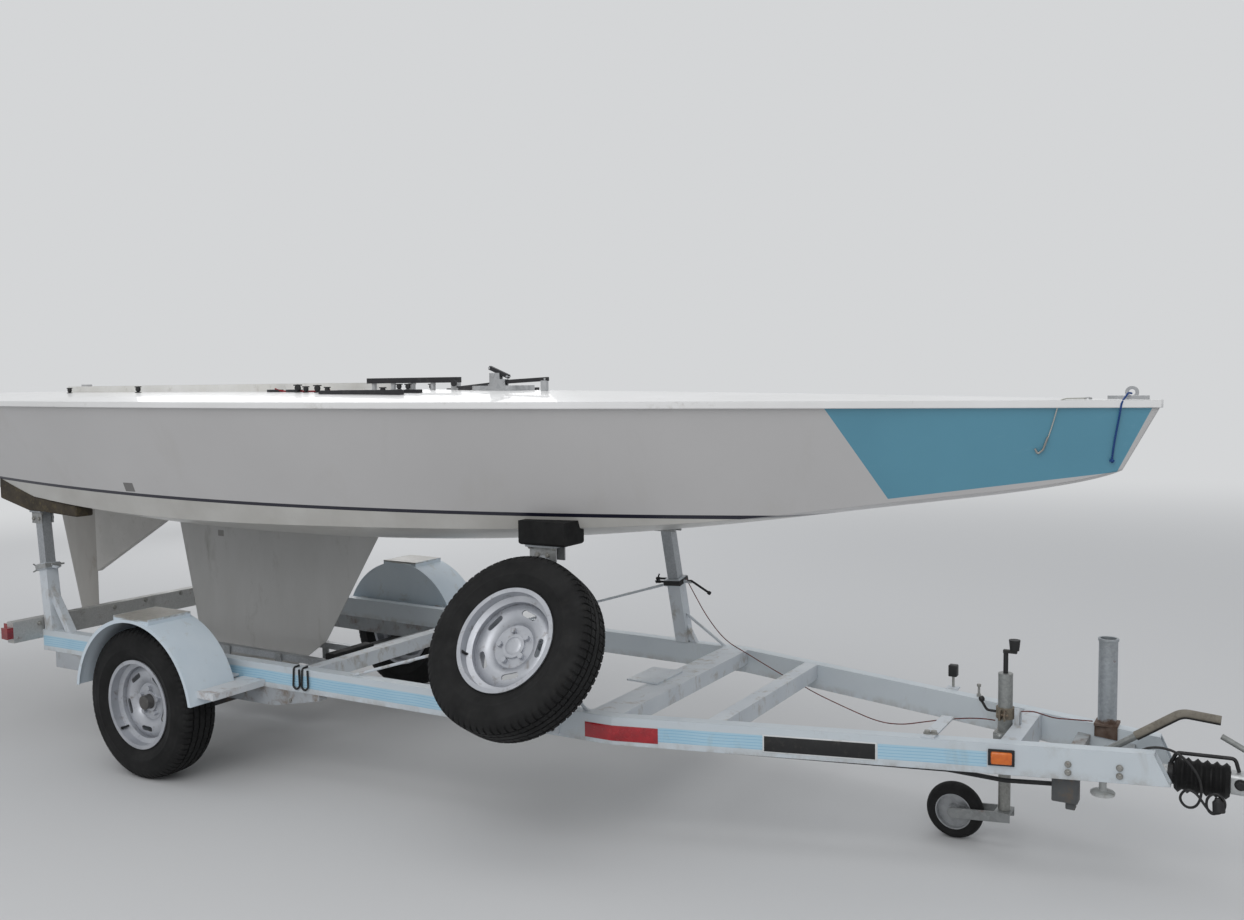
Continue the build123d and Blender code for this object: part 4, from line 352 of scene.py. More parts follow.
WHITE_STEEL = paint("white_steel", (208, 213, 217), (194, 200, 206), (140, 126, 106), 0.35, streak=1.6)
MATERIALS = {
    "hull": hull_paint(),
    "deck": paint("deck_gelcoat", (238, 237, 236), (228, 227, 225), (176, 172, 162), 0.0, (0.3, 0.42),
                  0.06, 2.2, coat=0.3, bevel=0.006),
    "cockpit_coaming": paint("coaming_gelcoat", (232, 231, 228), (216, 214, 208), (160, 154, 142), 0.1),
    "keel_fin": paint("fin_paint", (190, 189, 187), (176, 175, 172), (146, 143, 137), 0.15, (0.42, 0.6),
                      0.2, 3.0, 3.0, grain_scale=90, over=fin_patch),
    "keel_bulb": paint("bulb_paint", (206, 204, 200), (184, 182, 176), (128, 118, 102), 0.35, (0.45, 0.6)),
    "skeg": paint("skeg_paint", (186, 184, 180), (170, 168, 164), (146, 142, 130), 0.2, (0.4, 0.55)),
    # The rudder's off-white paint is toned darker than the skeg's with painted shade, for the shade under the
    # hull where it hangs
    "rudder_blade": paint("rudder_paint_and_shade", (166, 163, 158), (150, 147, 142), (132, 127, 116), 0.2,
                          (0.4, 0.55), 0.15, 3.4, 2.5),
    "rudder_stock": zinc("stainless_stock", (196, 196, 196), (170, 170, 172), (0.22, 0.34), 30),
    "side_rails": rail_paint(),
    "cross_members": WHITE_STEEL,
    "fender_brackets": paint("step_paint", (216, 219, 222), (200, 203, 206), (138, 108, 84), 0.35),
    "fenders": paint("fender_paint", (212, 222, 229), (200, 212, 221), (176, 172, 160), 0.1, (0.3, 0.45),
                     0.08, 4.0, 1.5, over=worn_top),
    "rear_beam": zinc("beam_alloy", (200, 200, 198), (172, 172, 170), (0.42, 0.6), 170, 0.3),
    "rear_lamps": paint("lamp_lens", (150, 22, 26), (120, 16, 20), (60, 10, 12), 0.1, (0.12, 0.25), 0.05,
                        20, coat=0.6),
    "suspension_subframe": paint("subframe_paint", (176, 180, 184), (150, 154, 158), (110, 92, 72), 0.5),
    "torsion_half_axles": paint("axle_paint", (46, 46, 48), (34, 34, 36), (92, 70, 52), 0.35, (0.5, 0.7)),
    "keel_cradle_beams": zinc("cradle_zinc", (186, 189, 192), (152, 156, 160), (0.4, 0.58), 160, 0.1),
    "keel_tray": zinc("tray_zinc", (176, 179, 181), (146, 150, 152), (0.42, 0.6), 160, 0.2),
    "keel_stop_pad": rubber("stop_rubber"),
    "bunk_post_sleeves": WHITE_STEEL,
    "bunk_post_tubes": zinc("tube_zinc", (184, 187, 190), (150, 154, 158), (0.36, 0.52), 160, 0.1),
    "rear_bunks": paint("bunk_cover", (74, 66, 54), (52, 46, 38), (96, 86, 60), 0.4, (0.8, 0.95), 0.6, 12,
                        grain_scale=500),
    "middle_pads": rubber("pad_rubber", 14.0),
    "spare_wheel_carrier": WHITE_STEEL,
    "coupling_mount": paint("mount_paint", (176, 180, 182), (152, 156, 158), (104, 82, 62), 0.5, (0.45, 0.6)),
    "coupling_head": zinc("cast_coupling", (206, 208, 208), (176, 178, 178), (0.38, 0.55), 120, 0.1),
    "coupling_gaiter": rubber("gaiter_rubber", 16.0),
    "coupling_levers": zinc("lever_zinc", (158, 160, 158), (128, 130, 128), (0.4, 0.55), 80, 0.2),
    "mast_post": zinc("post_zinc", (176, 181, 184), (148, 153, 158), (0.4, 0.56), 150, 0.1, 0.205),
    "deck_tracks": paint("track_anodised", (34, 34, 38), (24, 24, 27), (70, 68, 66), 0.2, (0.35, 0.5),
                         over=pale_posts),
    "deck_fittings": zinc("fitting_steel", (196, 197, 198), (166, 168, 170), (0.24, 0.38), 40),
    "jockey_outer_tube": zinc("jockey_zinc", (168, 170, 168), (136, 138, 136), (0.38, 0.54), 150, 0.3),
    "jockey_crank": paint("crank_black", (34, 34, 34), (24, 24, 24), (70, 62, 54), 0.2, (0.5, 0.7)),
    "jockey_leg": zinc("leg_zinc", (160, 160, 156), (128, 128, 124), (0.34, 0.5), 150, 0.2),
    "jockey_fork": zinc("fork_zinc", (158, 160, 160), (130, 132, 132), (0.4, 0.56), 70, 0.3),
    "jockey_tyre": rubber("jockey_rubber", 18.0),
    "jockey_rim": zinc("jockey_rim_zinc", (176, 178, 180), (146, 148, 150), (0.36, 0.5), 60, 0.15),
}
RIM = paint("rim_silver", (196, 198, 203), (176, 179, 185), (112, 102, 92), 0.2, (0.36, 0.48), 0.12, 9.0,
            coat=0.15, bevel=0.0015, metal=0.6)
HUB = zinc("hub_iron", (120, 118, 116), (84, 82, 80), (0.45, 0.62), 50, 0.3)
TYRE = rubber("tyre_rubber")
for side, sign in SIDES:
    MATERIALS[f"wheel_rim_{side}"] = RIM
    MATERIALS[f"wheel_hub_{side}"] = HUB
    MATERIALS[f"wheel_tyre_{side}"] = TYRE
MATERIALS["spare_rim"] = RIM
MATERIALS["spare_tyre"] = TYRE
for name, node in NODES.items():
    if not node.material_slots:
        node.data.materials.append(None)
    for slot in node.material_slots:
        slot.material = MATERIALS[name]

# Materials of the small pieces and the cords
REFLECTOR = paint("reflector_red", (176, 20, 34), (150, 14, 28), (100, 30, 34), 0.2, (0.2, 0.3), 0.0, 30,
                  coat=0.5)
AMBER = paint("lens_amber", (226, 118, 28), (206, 96, 18), (150, 70, 20), 0.1, (0.15, 0.28), 0.0, 40, coat=0.6)
BLACK = paint("black_plastic", (30, 30, 31), (22, 22, 23), (58, 54, 50), 0.25, (0.45, 0.65), 0.3, 14)
EDGE_WHITE = paint("plate_border", (226, 228, 228), (210, 212, 212), (150, 146, 138), 0.2, (0.4, 0.5))
BOLT = zinc("bolt_zinc", (176, 176, 172), (140, 138, 132), (0.35, 0.5), 120, 0.2)
CLAMP_STEEL = zinc("clamp_steel", (186, 188, 188), (146, 147, 146), (0.36, 0.54), 150, 0.18)
DARK_STEEL = paint("bracket_dark", (98, 100, 101), (74, 75, 76), (110, 92, 72), 0.5, (0.5, 0.7))
RUSTY = zinc("rusty_clamp", (150, 142, 128), (112, 100, 84), (0.5, 0.7), 60, 0.45)
# The lever's sleeve gets painted shade, black on its underside
SLEEVE = paint("lever_sleeve", (134, 128, 116), (112, 106, 96), (86, 78, 66), 0.4, (0.6, 0.8), 0.3, 16,
               over=painted_shade_below)
PALE = paint("pale_foot", (214, 216, 214), (188, 190, 188), (120, 108, 92), 0.4, (0.4, 0.55))
BLUE_ROPE = rope("rope_blue", (50, 88, 150), (28, 52, 104))
PALE_ROPE = rope("rope_pale", (206, 206, 200), (160, 160, 152))
RED_ROPE = rope("rope_red", (168, 46, 52), (116, 28, 36))
BROWN_WIRE = rope("wire_brown", (120, 62, 54), (92, 46, 42), 300.0)


# Helpers for pieces in mesh code, in the drawing frame's millimetres
def round_edges(work, angle, radius, segments):
    """Rounds the edges that turn by more than an angle."""
    sharp = [e for e in work.edges if e.is_manifold and e.calc_face_angle(0) > angle]
    bmesh.ops.bevel(work, geom=sharp, offset=radius, segments=segments, affect="EDGES", profile=0.5)


def ring_faces(rings, rows, closed=True):
    """Faces between rings of points, the last ring with the first; closed joins each ring's two ends too."""
    faces = []
    for k in range(rings):
        here, there = k * rows, (k + 1) % rings * rows
        for i in range(rows if closed else rows - 1):
            j = (i + 1) % rows
            faces.append((here + i, here + j, there + j, there + i))
    return faces


def piece(name, verts, faces, material, body="base", smooth=False, bevel=0.0, segments=2):
    """Mesh of one material that rides on a body."""
    mesh = bpy.data.meshes.new(name)
    mesh.from_pydata([FROM_MM @ Vector(v) for v in verts], [], faces)
    work = bmesh.new()
    work.from_mesh(mesh)
    bmesh.ops.recalc_face_normals(work, faces=work.faces)
    if bevel:
        round_edges(work, 0.6, bevel / 1000, segments)
    work.to_mesh(mesh)
    work.free()
    mesh.materials.append(material)
    new = put(name, mesh)
    if smooth or bevel:
        mesh.shade_smooth()
        mesh.set_sharp_from_angle(angle=math.radians(38))
    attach(new, body)
    return new


class Shape:
    """Collects vertices and faces of one piece."""

    def __init__(self):
        self.verts, self.faces = [], []

    def add(self, verts, faces):
        start = len(self.verts)
        self.verts += [Vector(v) for v in verts]
        self.faces += [[start + i for i in f] for f in faces]

    def box(self, x_range, y_range, z_range, turn=None):
        """Box by its extents, or turned by a matrix about the frame's origin."""
        corners = [Vector((x, y, z)) for x in x_range for y in y_range for z in z_range]
        if turn:
            corners = [turn @ c for c in corners]
        self.add(corners, [(0, 1, 3, 2), (4, 6, 7, 5), (0, 4, 5, 1), (2, 3, 7, 6), (0, 2, 6, 4), (1, 5, 7, 3)])

    def turned(self, profile, axis_start, axis, segments, closed=False):
        """Solid or shell of revolution: profile of (radius, distance along the axis)."""
        along = Vector(axis).normalized()
        side = along.orthogonal().normalized()
        other = along.cross(side)
        verts, rows = [], len(profile)
        for k in range(segments):
            angle = math.tau * k / segments
            out = math.cos(angle) * side + math.sin(angle) * other
            verts += [Vector(axis_start) + along * d + out * r for r, d in profile]
        faces = ring_faces(segments, rows, closed)
        if not closed:
            starts = [k * rows for k in range(segments)]
            faces += [starts[::-1], [start + rows - 1 for start in starts]]
        self.add(verts, faces)

    def disc(self, radius, half, place, axis, segments):
        """Round bar of a half length to each side of a place."""
        self.turned([(0.1, -half), (radius, -half), (radius, half), (0.1, half)], place, axis, segments)

    def tube(self, points, radius, segments=10):
        """Round bar along points, with closed ends."""
        points = [Vector(p) for p in points]
        side = None
        verts, faces = [], []
        for i, point in enumerate(points):
            along = (points[min(i + 1, len(points) - 1)] - points[max(i - 1, 0)]).normalized()
            side = (along.orthogonal() if side is None else side - along * side.dot(along)).normalized()
            other = along.cross(side)
            for k in range(segments):
                angle = math.tau * k / segments
                verts.append(point + (math.cos(angle) * side + math.sin(angle) * other) * radius)
        for a in range(0, len(verts) - segments, segments):
            for k in range(segments):
                n = (k + 1) % segments
                faces.append((a + k, a + n, a + segments + n, a + segments + k))
        faces += [list(range(segments))[::-1], list(range(len(verts) - segments, len(verts)))]
        self.add(verts, faces)

    def bolt(self, place, axis, size, height=7.0, washer=1.5):
        """Hexagon head on a washer."""
        self.turned([(size * 1.25, -0.5), (size * 1.25, washer)], place, axis, 16)
        self.turned([(size, washer), (size, height), (size * 0.8, height + 1.2)], place, axis, 6)

    def make(self, name, material, **options):
        return piece(name, self.verts, self.faces, material, **options)


TREES = {}


def surface(node, start, direction):
    """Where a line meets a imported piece, in the drawing frame."""
    if node not in TREES:
        mesh = NODES[node].data
        TREES[node] = BVHTree.FromPolygons([v.co for v in mesh.vertices], [p.vertices for p in mesh.polygons])
    heading = (FROM_MM.to_3x3() @ Vector(direction)).normalized()
    return TO_MM @ TREES[node].ray_cast(FROM_MM @ Vector(start), heading)[0]


def deck_z(x, y):
    """Height of the deck under a place."""
    return surface("deck", (x, y, 1500), (0, 0, -1)).z


def hull_side(x, z, out):
    """Place beside the starboard topsides, standing out from them."""
    return Vector((x, surface("hull", (x, -900, z), (0, 1, 0)).y - out, z))


def rail_y(x):
    """Outside face of a side rail."""
    if x <= BEND_X:
        return RAIL_REAR_Y + (BEND_Y - RAIL_REAR_Y) * (x - RAIL_REAR_X) / (BEND_X - RAIL_REAR_X)
    return BEND_Y + (NOSE_Y - BEND_Y) * (x - BEND_X) / (NOSE_X - BEND_X)


def rail_offset(x, side, out):
    """Point on a rail's outside face, moved outward by out; side is 1 for port and -1 for starboard."""
    ahead = Vector((NOSE_X - BEND_X, NOSE_Y - BEND_Y))
    behind = Vector((BEND_X - RAIL_REAR_X, BEND_Y - RAIL_REAR_Y))
    heading = (ahead if x > BEND_X else behind).normalized()
    return Vector((x - heading.y * out, side * (rail_y(x) + heading.x * out)))


def rail_plate(shape, x_range, z_range, side, out):
    """Flat plate on a rail's outside, standing out by out, bent where the rail bends."""
    stops = [x_range[0]] + [BEND_X] * (x_range[0] < BEND_X < x_range[1]) + [x_range[1]]
    verts, faces = [], []
    for x in stops:
        for depth in (-0.5, out):
            spot = rail_offset(x, side, depth)
            verts += [(spot.x, spot.y, z) for z in z_range]
    for k in range(len(stops) - 1):
        a, b = 4 * k, 4 * k + 4
        faces += [(a + i, a + j, b + j, b + i) for i, j in ((0, 1), (1, 3), (3, 2), (2, 0))]
    last = 4 * (len(stops) - 1)
    faces += [(0, 2, 3, 1), (last, last + 1, last + 3, last + 2)]
    shape.add(verts, faces)


def arc_line(corners, bend, steps=5):
    """Line of a bent bar through corners, rounded with a given radius where it turns."""
    corners = [Vector(c) for c in corners]
    line = [corners[0]]
    for before, corner, after in zip(corners, corners[1:], corners[2:]):
        back, ahead = (before - corner).normalized(), (after - corner).normalized()
        half = back.angle(ahead) / 2
        reach = min(bend / math.tan(half), 0.45 * (before - corner).length, 0.45 * (after - corner).length)
        first, last = corner + back * reach, corner + ahead * reach
        for k in range(steps + 1):
            share = k / steps
            line.append(first * (1 - share) ** 2 + corner * 2 * share * (1 - share) + last * share ** 2)
    return line + [corners[-1]]


def knot(name, place, size, material, along=(0, 0, 1)):
    """Rope's end knot: two crossed turns of a small torus."""
    lump = Shape()
    for tilt, share in ((0.0, 1.0), (1.1, 0.9)):
        axis = Vector(along).normalized()
        side = axis.orthogonal().normalized()
        axis = (axis * math.cos(tilt) + side * math.sin(tilt)).normalized()
        thick, wide, corners = size * share * 0.42, size * share * 0.62, 8
        angles = [math.tau * k / corners for k in range(corners)]
        ring = [(wide + thick * math.cos(a), thick * math.sin(a)) for a in angles]
        lump.turned(ring, place, axis, 16, closed=True)
    return lump.make(name, material, smooth=True)


def cord_piece(name, points, diameter, material, length, far_end, with_pieces=(), **words):
    """Free rope or lead: one smooth line through the points that it hangs by."""
    data = bpy.data.curves.new(name, "CURVE")
    data.dimensions, data.bevel_depth, data.bevel_resolution, data.use_fill_caps = "3D", diameter / 2, 3, True
    data.resolution_u = 10
    line = data.splines.new("NURBS")
    line.points.add(len(points) - 1)
    for handle, point in zip(line.points, points):
        handle.co = (*(FROM_MM @ Vector(point)), 1)
    line.order_u, line.use_endpoint_u = 3, True
    data.materials.append(material)
    new = put(name, data)
    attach(new, "base")


def stand_in(name, mesh, material, body, node):
    """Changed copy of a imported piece's mesh, which takes the piece's place."""
    mesh.materials.clear()
    mesh.materials.append(material)
    new = put(name, mesh)
    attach(new, body)
    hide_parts(node)
    return new


def tyre_mesh(name, seat, body, node):
    """Road tyre with ribs, shoulder bars and bead rings, about the Y axis of its seat."""
    # Half a section from the bead to the middle: radius, distance from the middle plane
    side = [
        (181, 71.5), (196, 71.8), (199, 73.5), (203, 76.5), (206, 77.2), (210, 80), (222, 86.2), (236, 90.4),
        (238, 91.6), (241, 91.7), (243, 90.9), (256, 91.2), (270, 89.4), (284, 86), (286, 86.2), (289, 85.2),
        (297, 82), (304, 78.5), (309, 75.5),
    ]
    tread = [(313.5, 72), (318, 67.5), (321.5, 61), (323.2, 47)]
    ribs = [(317, 46.4), (317, 41), (323.6, 40), (323.9, 18), (317, 17.2), (317, 11.6), (324, 10.8)]
    half = side + tread + ribs
    profile = half + [(r, -w) for r, w in reversed(half)]
    groove_from, groove_to = len(side) - 2, len(side) + len(tread)
    bars, steps = 72, (0.0, 0.68, 0.73, 0.95)
    rows = len(profile)
    verts = []
    for k in range(bars):
        for n, share in enumerate(steps):
            for i, (radius, across) in enumerate(profile):
                j = i if i < len(half) else rows - 1 - i
                if n in (2, 3) and groove_from <= j < groove_to:
                    radius -= 4.6 if j > groove_from + 1 else 1.8
                if n == 2 and groove_to + 2 <= j <= groove_to + 3:
                    radius -= 3.5
                swing = 1.6 * math.sin(k * math.pi + n * math.pi / 2) if j >= groove_to else 0.0
                angle = math.tau / bars * (k + share)
                spot = Vector((radius * math.sin(angle), across + swing, radius * math.cos(angle)))
                verts.append(seat @ spot)
    new = piece(name, verts, ring_faces(bars * len(steps), rows), TYRE, body, smooth=True)
    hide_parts(node)


def turned_rim(name, seat, degrees, body, node):
    """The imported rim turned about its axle."""
    mesh = NODES[node].data.copy()
    turn = Matrix.Rotation(math.radians(degrees), 4, "Y")
    mesh.transform(FROM_MM @ seat @ turn @ seat.inverted() @ TO_MM)
    stand_in(name, mesh, RIM, body, node)


def cover_bunks():
    """Carpet over the rear bunks' boards, with rounded edges."""
    mesh = NODES["rear_bunks"].data.copy()
    work = bmesh.new()
    work.from_mesh(mesh)
    bmesh.ops.remove_doubles(work, verts=work.verts, dist=0.00005)
    bmesh.ops.dissolve_limit(work, angle_limit=math.radians(1.5), verts=work.verts, edges=work.edges)
    round_edges(work, 0.7, 0.009, 4)
    work.to_mesh(mesh)
    work.free()
    mesh.shade_smooth()
    mesh.set_sharp_from_angle(angle=math.radians(40))
    new = stand_in("bunk_covers", mesh, MATERIALS["rear_bunks"], "base", "rear_bunks")


def valve(name, foot, neck, tip, body="base"):
    """Rubber valve with its cap."""
    stem = Shape()
    stem.tube([foot, neck], 4.6)
    stem.tube([neck, tip], 5.6)
    stem.make(name, BLACK, body=body, smooth=True)


# Tyres and rims
for side, sign in SIDES:
    wheel_seat = Matrix.Translation((0, WHEEL_Y * sign, 0))
    tyre_mesh(f"road_tyre_{side}", wheel_seat, f"wheel_{side}", f"wheel_tyre_{side}")
    turned_rim(f"road_rim_{side}", wheel_seat, ROAD_RIM_TURN, f"wheel_{side}", f"wheel_rim_{side}")
tyre_mesh("spare_road_tyre", SPARE, "base", "spare_tyre")
turned_rim("spare_road_rim", SPARE, SPARE_RIM_TURN, "base", "spare_rim")

# Reflectors, side markers and the bare plates on the rails
reflectors, lamps, cases, plates, borders = Shape(), Shape(), Shape(), Shape(), Shape()
for sign in (-1, 1):
    rail_plate(reflectors, (2071, 2340), (95, 149), sign, 1.5)
    rail_plate(cases, (3388, 3466), (109, 162), sign, 6)
    rail_plate(lamps, (3396, 3458), (116, 155), sign, 17)
    rail_plate(borders, (2690, 3053), (94, 155), sign, 1.2)
    rail_plate(plates, (2695, 3048), (98.5, 150.5), sign, 2.0)
reflectors.make("rail_reflectors", REFLECTOR, bevel=0.5)
lamps.make("marker_lenses", AMBER, bevel=5.0, segments=3)
cases.make("marker_bodies", BLACK, bevel=2.0)
borders.make("plate_borders", EDGE_WHITE, bevel=0.4)
plates.make("bare_plates", BLACK, bevel=0.4)

cover_bunks()

# Brackets, clamps and handles on the bunk posts. Each row: the post's foot and top, the length of its sleeve,
# and its head plate's half length and outward reach
POSTS = {
    "rear": (Vector((-956, 652, 180)), Vector((-1075, 612, 753)), 325, 45, 40),
    "middle": (Vector((1870, 562, 180)), Vector((1835, 462, 752)), 300, 65, 52),
}
clamps, brackets, bolts, black_clamps = Shape(), Shape(), Shape(), Shape()
for kind, (foot, top, sleeve, head_half, head_out) in POSTS.items():
    for sign in (1, -1):
        low, high = Vector((foot.x, sign * foot.y, foot.z)), Vector((top.x, sign * top.y, top.z))
        along = (high - low).normalized()
        collar = low + along * (sleeve - 15)
        ahead = (Vector((1, 0, 0)) - along * along.x).normalized()
        out = along.cross(ahead) * sign
        turn = axes(ahead, out, along, collar)
        target = black_clamps if kind == "middle" else clamps
        target.box((38, 41), (-41, 41), (-11, 11), turn)
        target.box((-41, -38), (-41, 41), (-11, 11), turn)
        target.box((-38, 38), (38, 41), (-11, 11), turn)
        target.box((-38, 38), (-41, -38), (-11, 11), turn)
        for lift in (-7, 8):
            start = collar - ahead * 40 + along * lift
            tip = start - ahead * 52
            target.tube([start, tip], 5.0)
            grip = (out * 0.8 + along * 0.6 * (1 if lift > 0 else -0.6)).normalized()
            target.tube([tip - grip * 24, tip + grip * 24], 3.6, 8)
            target.disc(7, 8, tip + ahead * 2, ahead, 12)
        tip = collar + ahead * 79
        if kind == "middle":
            drop = (ahead * 0.83 + along * -0.56).normalized()
            target.tube(arc_line([collar + ahead * 60, tip, tip + drop * 92], 12), 5.2)
            target.turned([(0.1, -9), (7.5, -7), (9, 0), (7.5, 7), (0.1, 9)], tip + drop * 96, drop, 12)
        else:
            target.tube([tip - out * 32, tip + out * 32], 4.5, 8)
        for side in (1, -1):
            cheek = Vector((high.x, high.y + side * 28.5, high.z))
            brackets.box((cheek.x - head_half + 6, cheek.x + head_half - 6), (cheek.y - 3.5, cheek.y + 3.5),
                         (cheek.z - 62, cheek.z - 8))
            for step in (-22, 22):
                bolts.bolt((cheek.x + step, cheek.y + side * 3.5, cheek.z - 38), (0, side, 0), 8.5)
        for step in (-1, 1):
            place = (high.x + step * (head_half - 12), high.y + sign * (head_out - 14), high.z - 8)
            bolts.bolt(place, (0, 0, -1), 8)
clamps.make("post_clamps", CLAMP_STEEL, smooth=True)
black_clamps.make("post_clamps_black", BLACK, smooth=True)
brackets.make("bunk_brackets", CLAMP_STEEL, bevel=1.2)

# Bolts of the frame, the beam, the fenders, the steps and the flat bar
for place in ((3197, -263, 186), (3217, -257, 186)):
    bolts.bolt(place, (0, 0, 1), 11, 10, 3)
for sign in (-1, 1):
    for y, z in ((110, 224), (293, 219), (640, 213), (700, 213)):
        bolts.bolt((-1003, sign * y, z), (1, 0, 0), 9)
    for x in (-225, 315):
        bolts.bolt((x, sign * 704, 140), (0, -sign, 0), 8)
        bolts.bolt((x, sign * 716, 140), (0, sign, 0), 8)
        bolts.bolt((x, sign * 668, 118), (0, 0, 1), 8)
    for x in (1840, 1938):
        for z in (150, 108):
            bolts.bolt((x, -(rail_y(x) + 10), z), (0, -1, 0), 9)
    for x in (-720, -500, 380, 640):
        bolts.bolt((x, sign * (rail_y(x) - 3), 40), (0, sign, 0), 8)
    for x in (3612, 3757):
        for z in (130, 104):
            bolts.bolt((x + 8, sign * rail_y(x), z), (0, sign, 0), 8.5)
bolts.make("frame_bolts", BOLT)

# Plate on the wide cross-member, and the small posts and pins on the port rail
plates = Shape()
plates.box((1985, 2120), (-150, 62), (180.3, 188))
y = rail_y(3123)
plates.box((3100, 3146), (y - 2, y + 6), (118, 180))
plates.box((3100, 3146), (y - 2, y + 46), (176, 182))
plates.box((3420, 3440), (-14, -10), (180.5, 238))
plates.box((3436, 3440), (-14, 16), (180.5, 226))
plates.make("small_brackets", MATERIALS["cross_members"], bevel=1.5)
pins = Shape()
pins.tube([(3122, 358, 178), (3122, 358, 226)], 5)
pins.tube([(3236, 277, 178), (3236, 277, 226)], 4.5)
pins.turned([(0.1, 0), (9, 0), (9, 9), (0.1, 10)], (3236, 277, 180), (0, 0, 1), 6)
pins.turned([(0.1, 0), (7, 0), (8, 5), (7, 10), (0.1, 11)], (3236, 277, 216), (0, 0, 1), 12)
pins.make("rail_pins", BOLT, smooth=True)
knob = Shape()
knob.box((3106, 3138), (342, 374), (222, 266))
knob.make("rail_knob", BLACK, bevel=4, segments=3)

# Clamp around the jockey wheel's tube, with its bolt and handle
ring = Shape()
ring.turned([(24, 196), (30, 196), (30, 234), (24, 234)], (JOCKEY_X, 0, 0), (0, 0, 1), 32, closed=True)
for x in (JOCKEY_X - 11, JOCKEY_X + 5):
    ring.box((x, x + 6), (-54, -26), (198, 232))
ring.tube([(JOCKEY_X - 20, -42, 215), (JOCKEY_X + 20, -42, 215)], 5)
ring.make("jockey_clamp_ring", RUSTY, smooth=True)
handle = Shape()
handle.tube(arc_line([(3362, 0, 214), (3328, -4, 216), (3312, -6, 244)], 16), 4.5)
handle.turned([(0.1, -9), (7, -8), (10, -3), (10, 4), (7, 9), (0.1, 10)], (3311, -6, 252), (-0.4, -0.1, 1), 16)
handle.make("jockey_clamp_handle", BLACK, smooth=True)

# Two hooks over the starboard rail
hooks = Shape()
for x in (668, 715):
    y = -(rail_y(x) + 4.5)
    hooks.tube(arc_line([(x, y + 30, 184.5), (x, y, 184.5), (x - 4, y - 2, 104), (x + 16, y - 3, 92),
                         (x + 34, y - 2, 108), (x + 30, y, 178)], 14), 4.2)
hooks.make("rail_hooks", BLACK, smooth=True)

# Spare wheel's cap, and the valves of the wheels
outward = SPARE_FACE.to_3x3() @ Vector((0, 1, 0))
cap = Shape()
cap.turned([(36, 0), (37, 6), (35, 10), (30, 13), (15, 15), (0.1, 15.5)], SPARE_FACE @ Vector((0, 2, 0)),
           outward, 40)
cap.make("spare_cap", RIM, smooth=True)
neck = SPARE_FACE @ Vector((164, 60, -60))
valve("spare_valve", SPARE_FACE @ Vector((160, 26, -58)), neck, neck + outward * 9)
for side, sign in SIDES:
    foot = Vector((-118, sign * (WHEEL_Y + 26), -118))
    neck, tip = (foot + Vector((-2, sign * reach, -2)) for reach in (36, 46))
    valve(f"valve_{side}", foot, neck, tip, body=f"wheel_{side}")

# Brake pipe along the starboard rail's inside, its bracket and the damper's foot under the nose
line = Shape()
line.tube(arc_line([(3585, -112, 36), (3420, -140, 28), (3250, -212, 58), (2180, -524, 70), (850, -568, 70)],
                   60, 4), 7.5)
line.make("brake_pipe", BLACK, smooth=True)
bracket = Shape()
bracket.box((3564, 3644), (-146, -98), (-12, 80))
bracket.box((3604, 3634), (-130, -100), (-38, -8))
bracket.make("brake_bracket", DARK_STEEL, bevel=4)
foot_plate = Shape()
foot_plate.turned([(0.1, -12), (36, -12), (38, -8), (38, -3), (34, 0), (14, 3), (12, 10), (12, 62), (0.1, 62)],
                  (3702, -30, 8), (0, 0, 1), 32)
foot_plate.make("damper_foot", PALE, smooth=True)

# Bar over the gaiter, sleeve of the brake lever and bolts of the coupling
nose = Shape()
nose.tube(arc_line([(3900, 0, 132), (3912, 0, 160), (4075, 0, 166), (4086, 0, 126)], 16), 6)
nose.turned([(26, -8), (33, -8), (33, 8), (26, 8)], (3897, 0, 92), (1, 0, 0), 28, closed=True)
nose.tube([(3897, 0, 122), (3900, 0, 136)], 6)
nose.make("gaiter_bar", BLACK, smooth=True)
sleeve = Shape()
sleeve.tube(arc_line([(3794, 0, 195), (3925, 0, 288), (4034, 0, 279.8)], 60), 15, 16)
sleeve.make("lever_sleeve", SLEEVE, smooth=True)
head_bolt = Shape()
head_bolt.bolt((4092, -32, 96), (0, -1, 0), 14, 11, 2)
head_bolt.bolt((4150, -32, 84), (0, -1, 0), 10, 8, 2)
head_bolt.make("coupling_bolts", BLACK)

# Deck gear: the raised bar's ends and cheeks, the tracks' blocks and the low tracks
gear, blocks, steel = Shape(), Shape(), Shape()
gear.box((1036, 1060), (-13, 13), (deck_z(1045, 0) - 2, 1376))
gear.turned([(0.1, -9), (15, -9), (15, -6), (11, 0), (15, 6), (15, 9), (0.1, 9)], (1052, -22, 1352),
            (0, 1, 0), 20)
for start, end, half, height in (
    ((1062, -12, 1326), (1300, -78, 1342), 8, 22), ((1291, -80, 1415), (1390, -80, 1375), 8, 17),
    ((1364, -80, 1354), (1587, -80, 1364), 9, 16),
):
    start, end = Vector(start), Vector(end)
    along = (end - start).normalized()
    aside = along.cross(Vector((0, 0, 1))).normalized()
    middle = (start + end) / 2
    reach = (end - start).length / 2
    turn = axes(along, aside, aside.cross(along), middle)
    gear.box((-reach, reach), (-half, half), (-height / 2, height / 2), turn)
    for step in (-0.92, 0.92):
        steel.disc(5, half + 3, middle + along * reach * step, aside, 12)
for y in (-92, -70):
    steel.box((1298, 1350), (y - 2.5, y + 2.5), (deck_z(1340, -90) - 2, 1392))
    steel.box((1350, 1378), (y - 2.5, y + 2.5), (deck_z(1340, -90) - 2, 1366))
for x, z in ((1316, 1384), (1368, 1358)):
    steel.disc(9, 16, (x, -81, z), (0, 1, 0), 16)
steel.box((1558, 1586), (-92, -76), (deck_z(1572, -84) - 2, 1358))

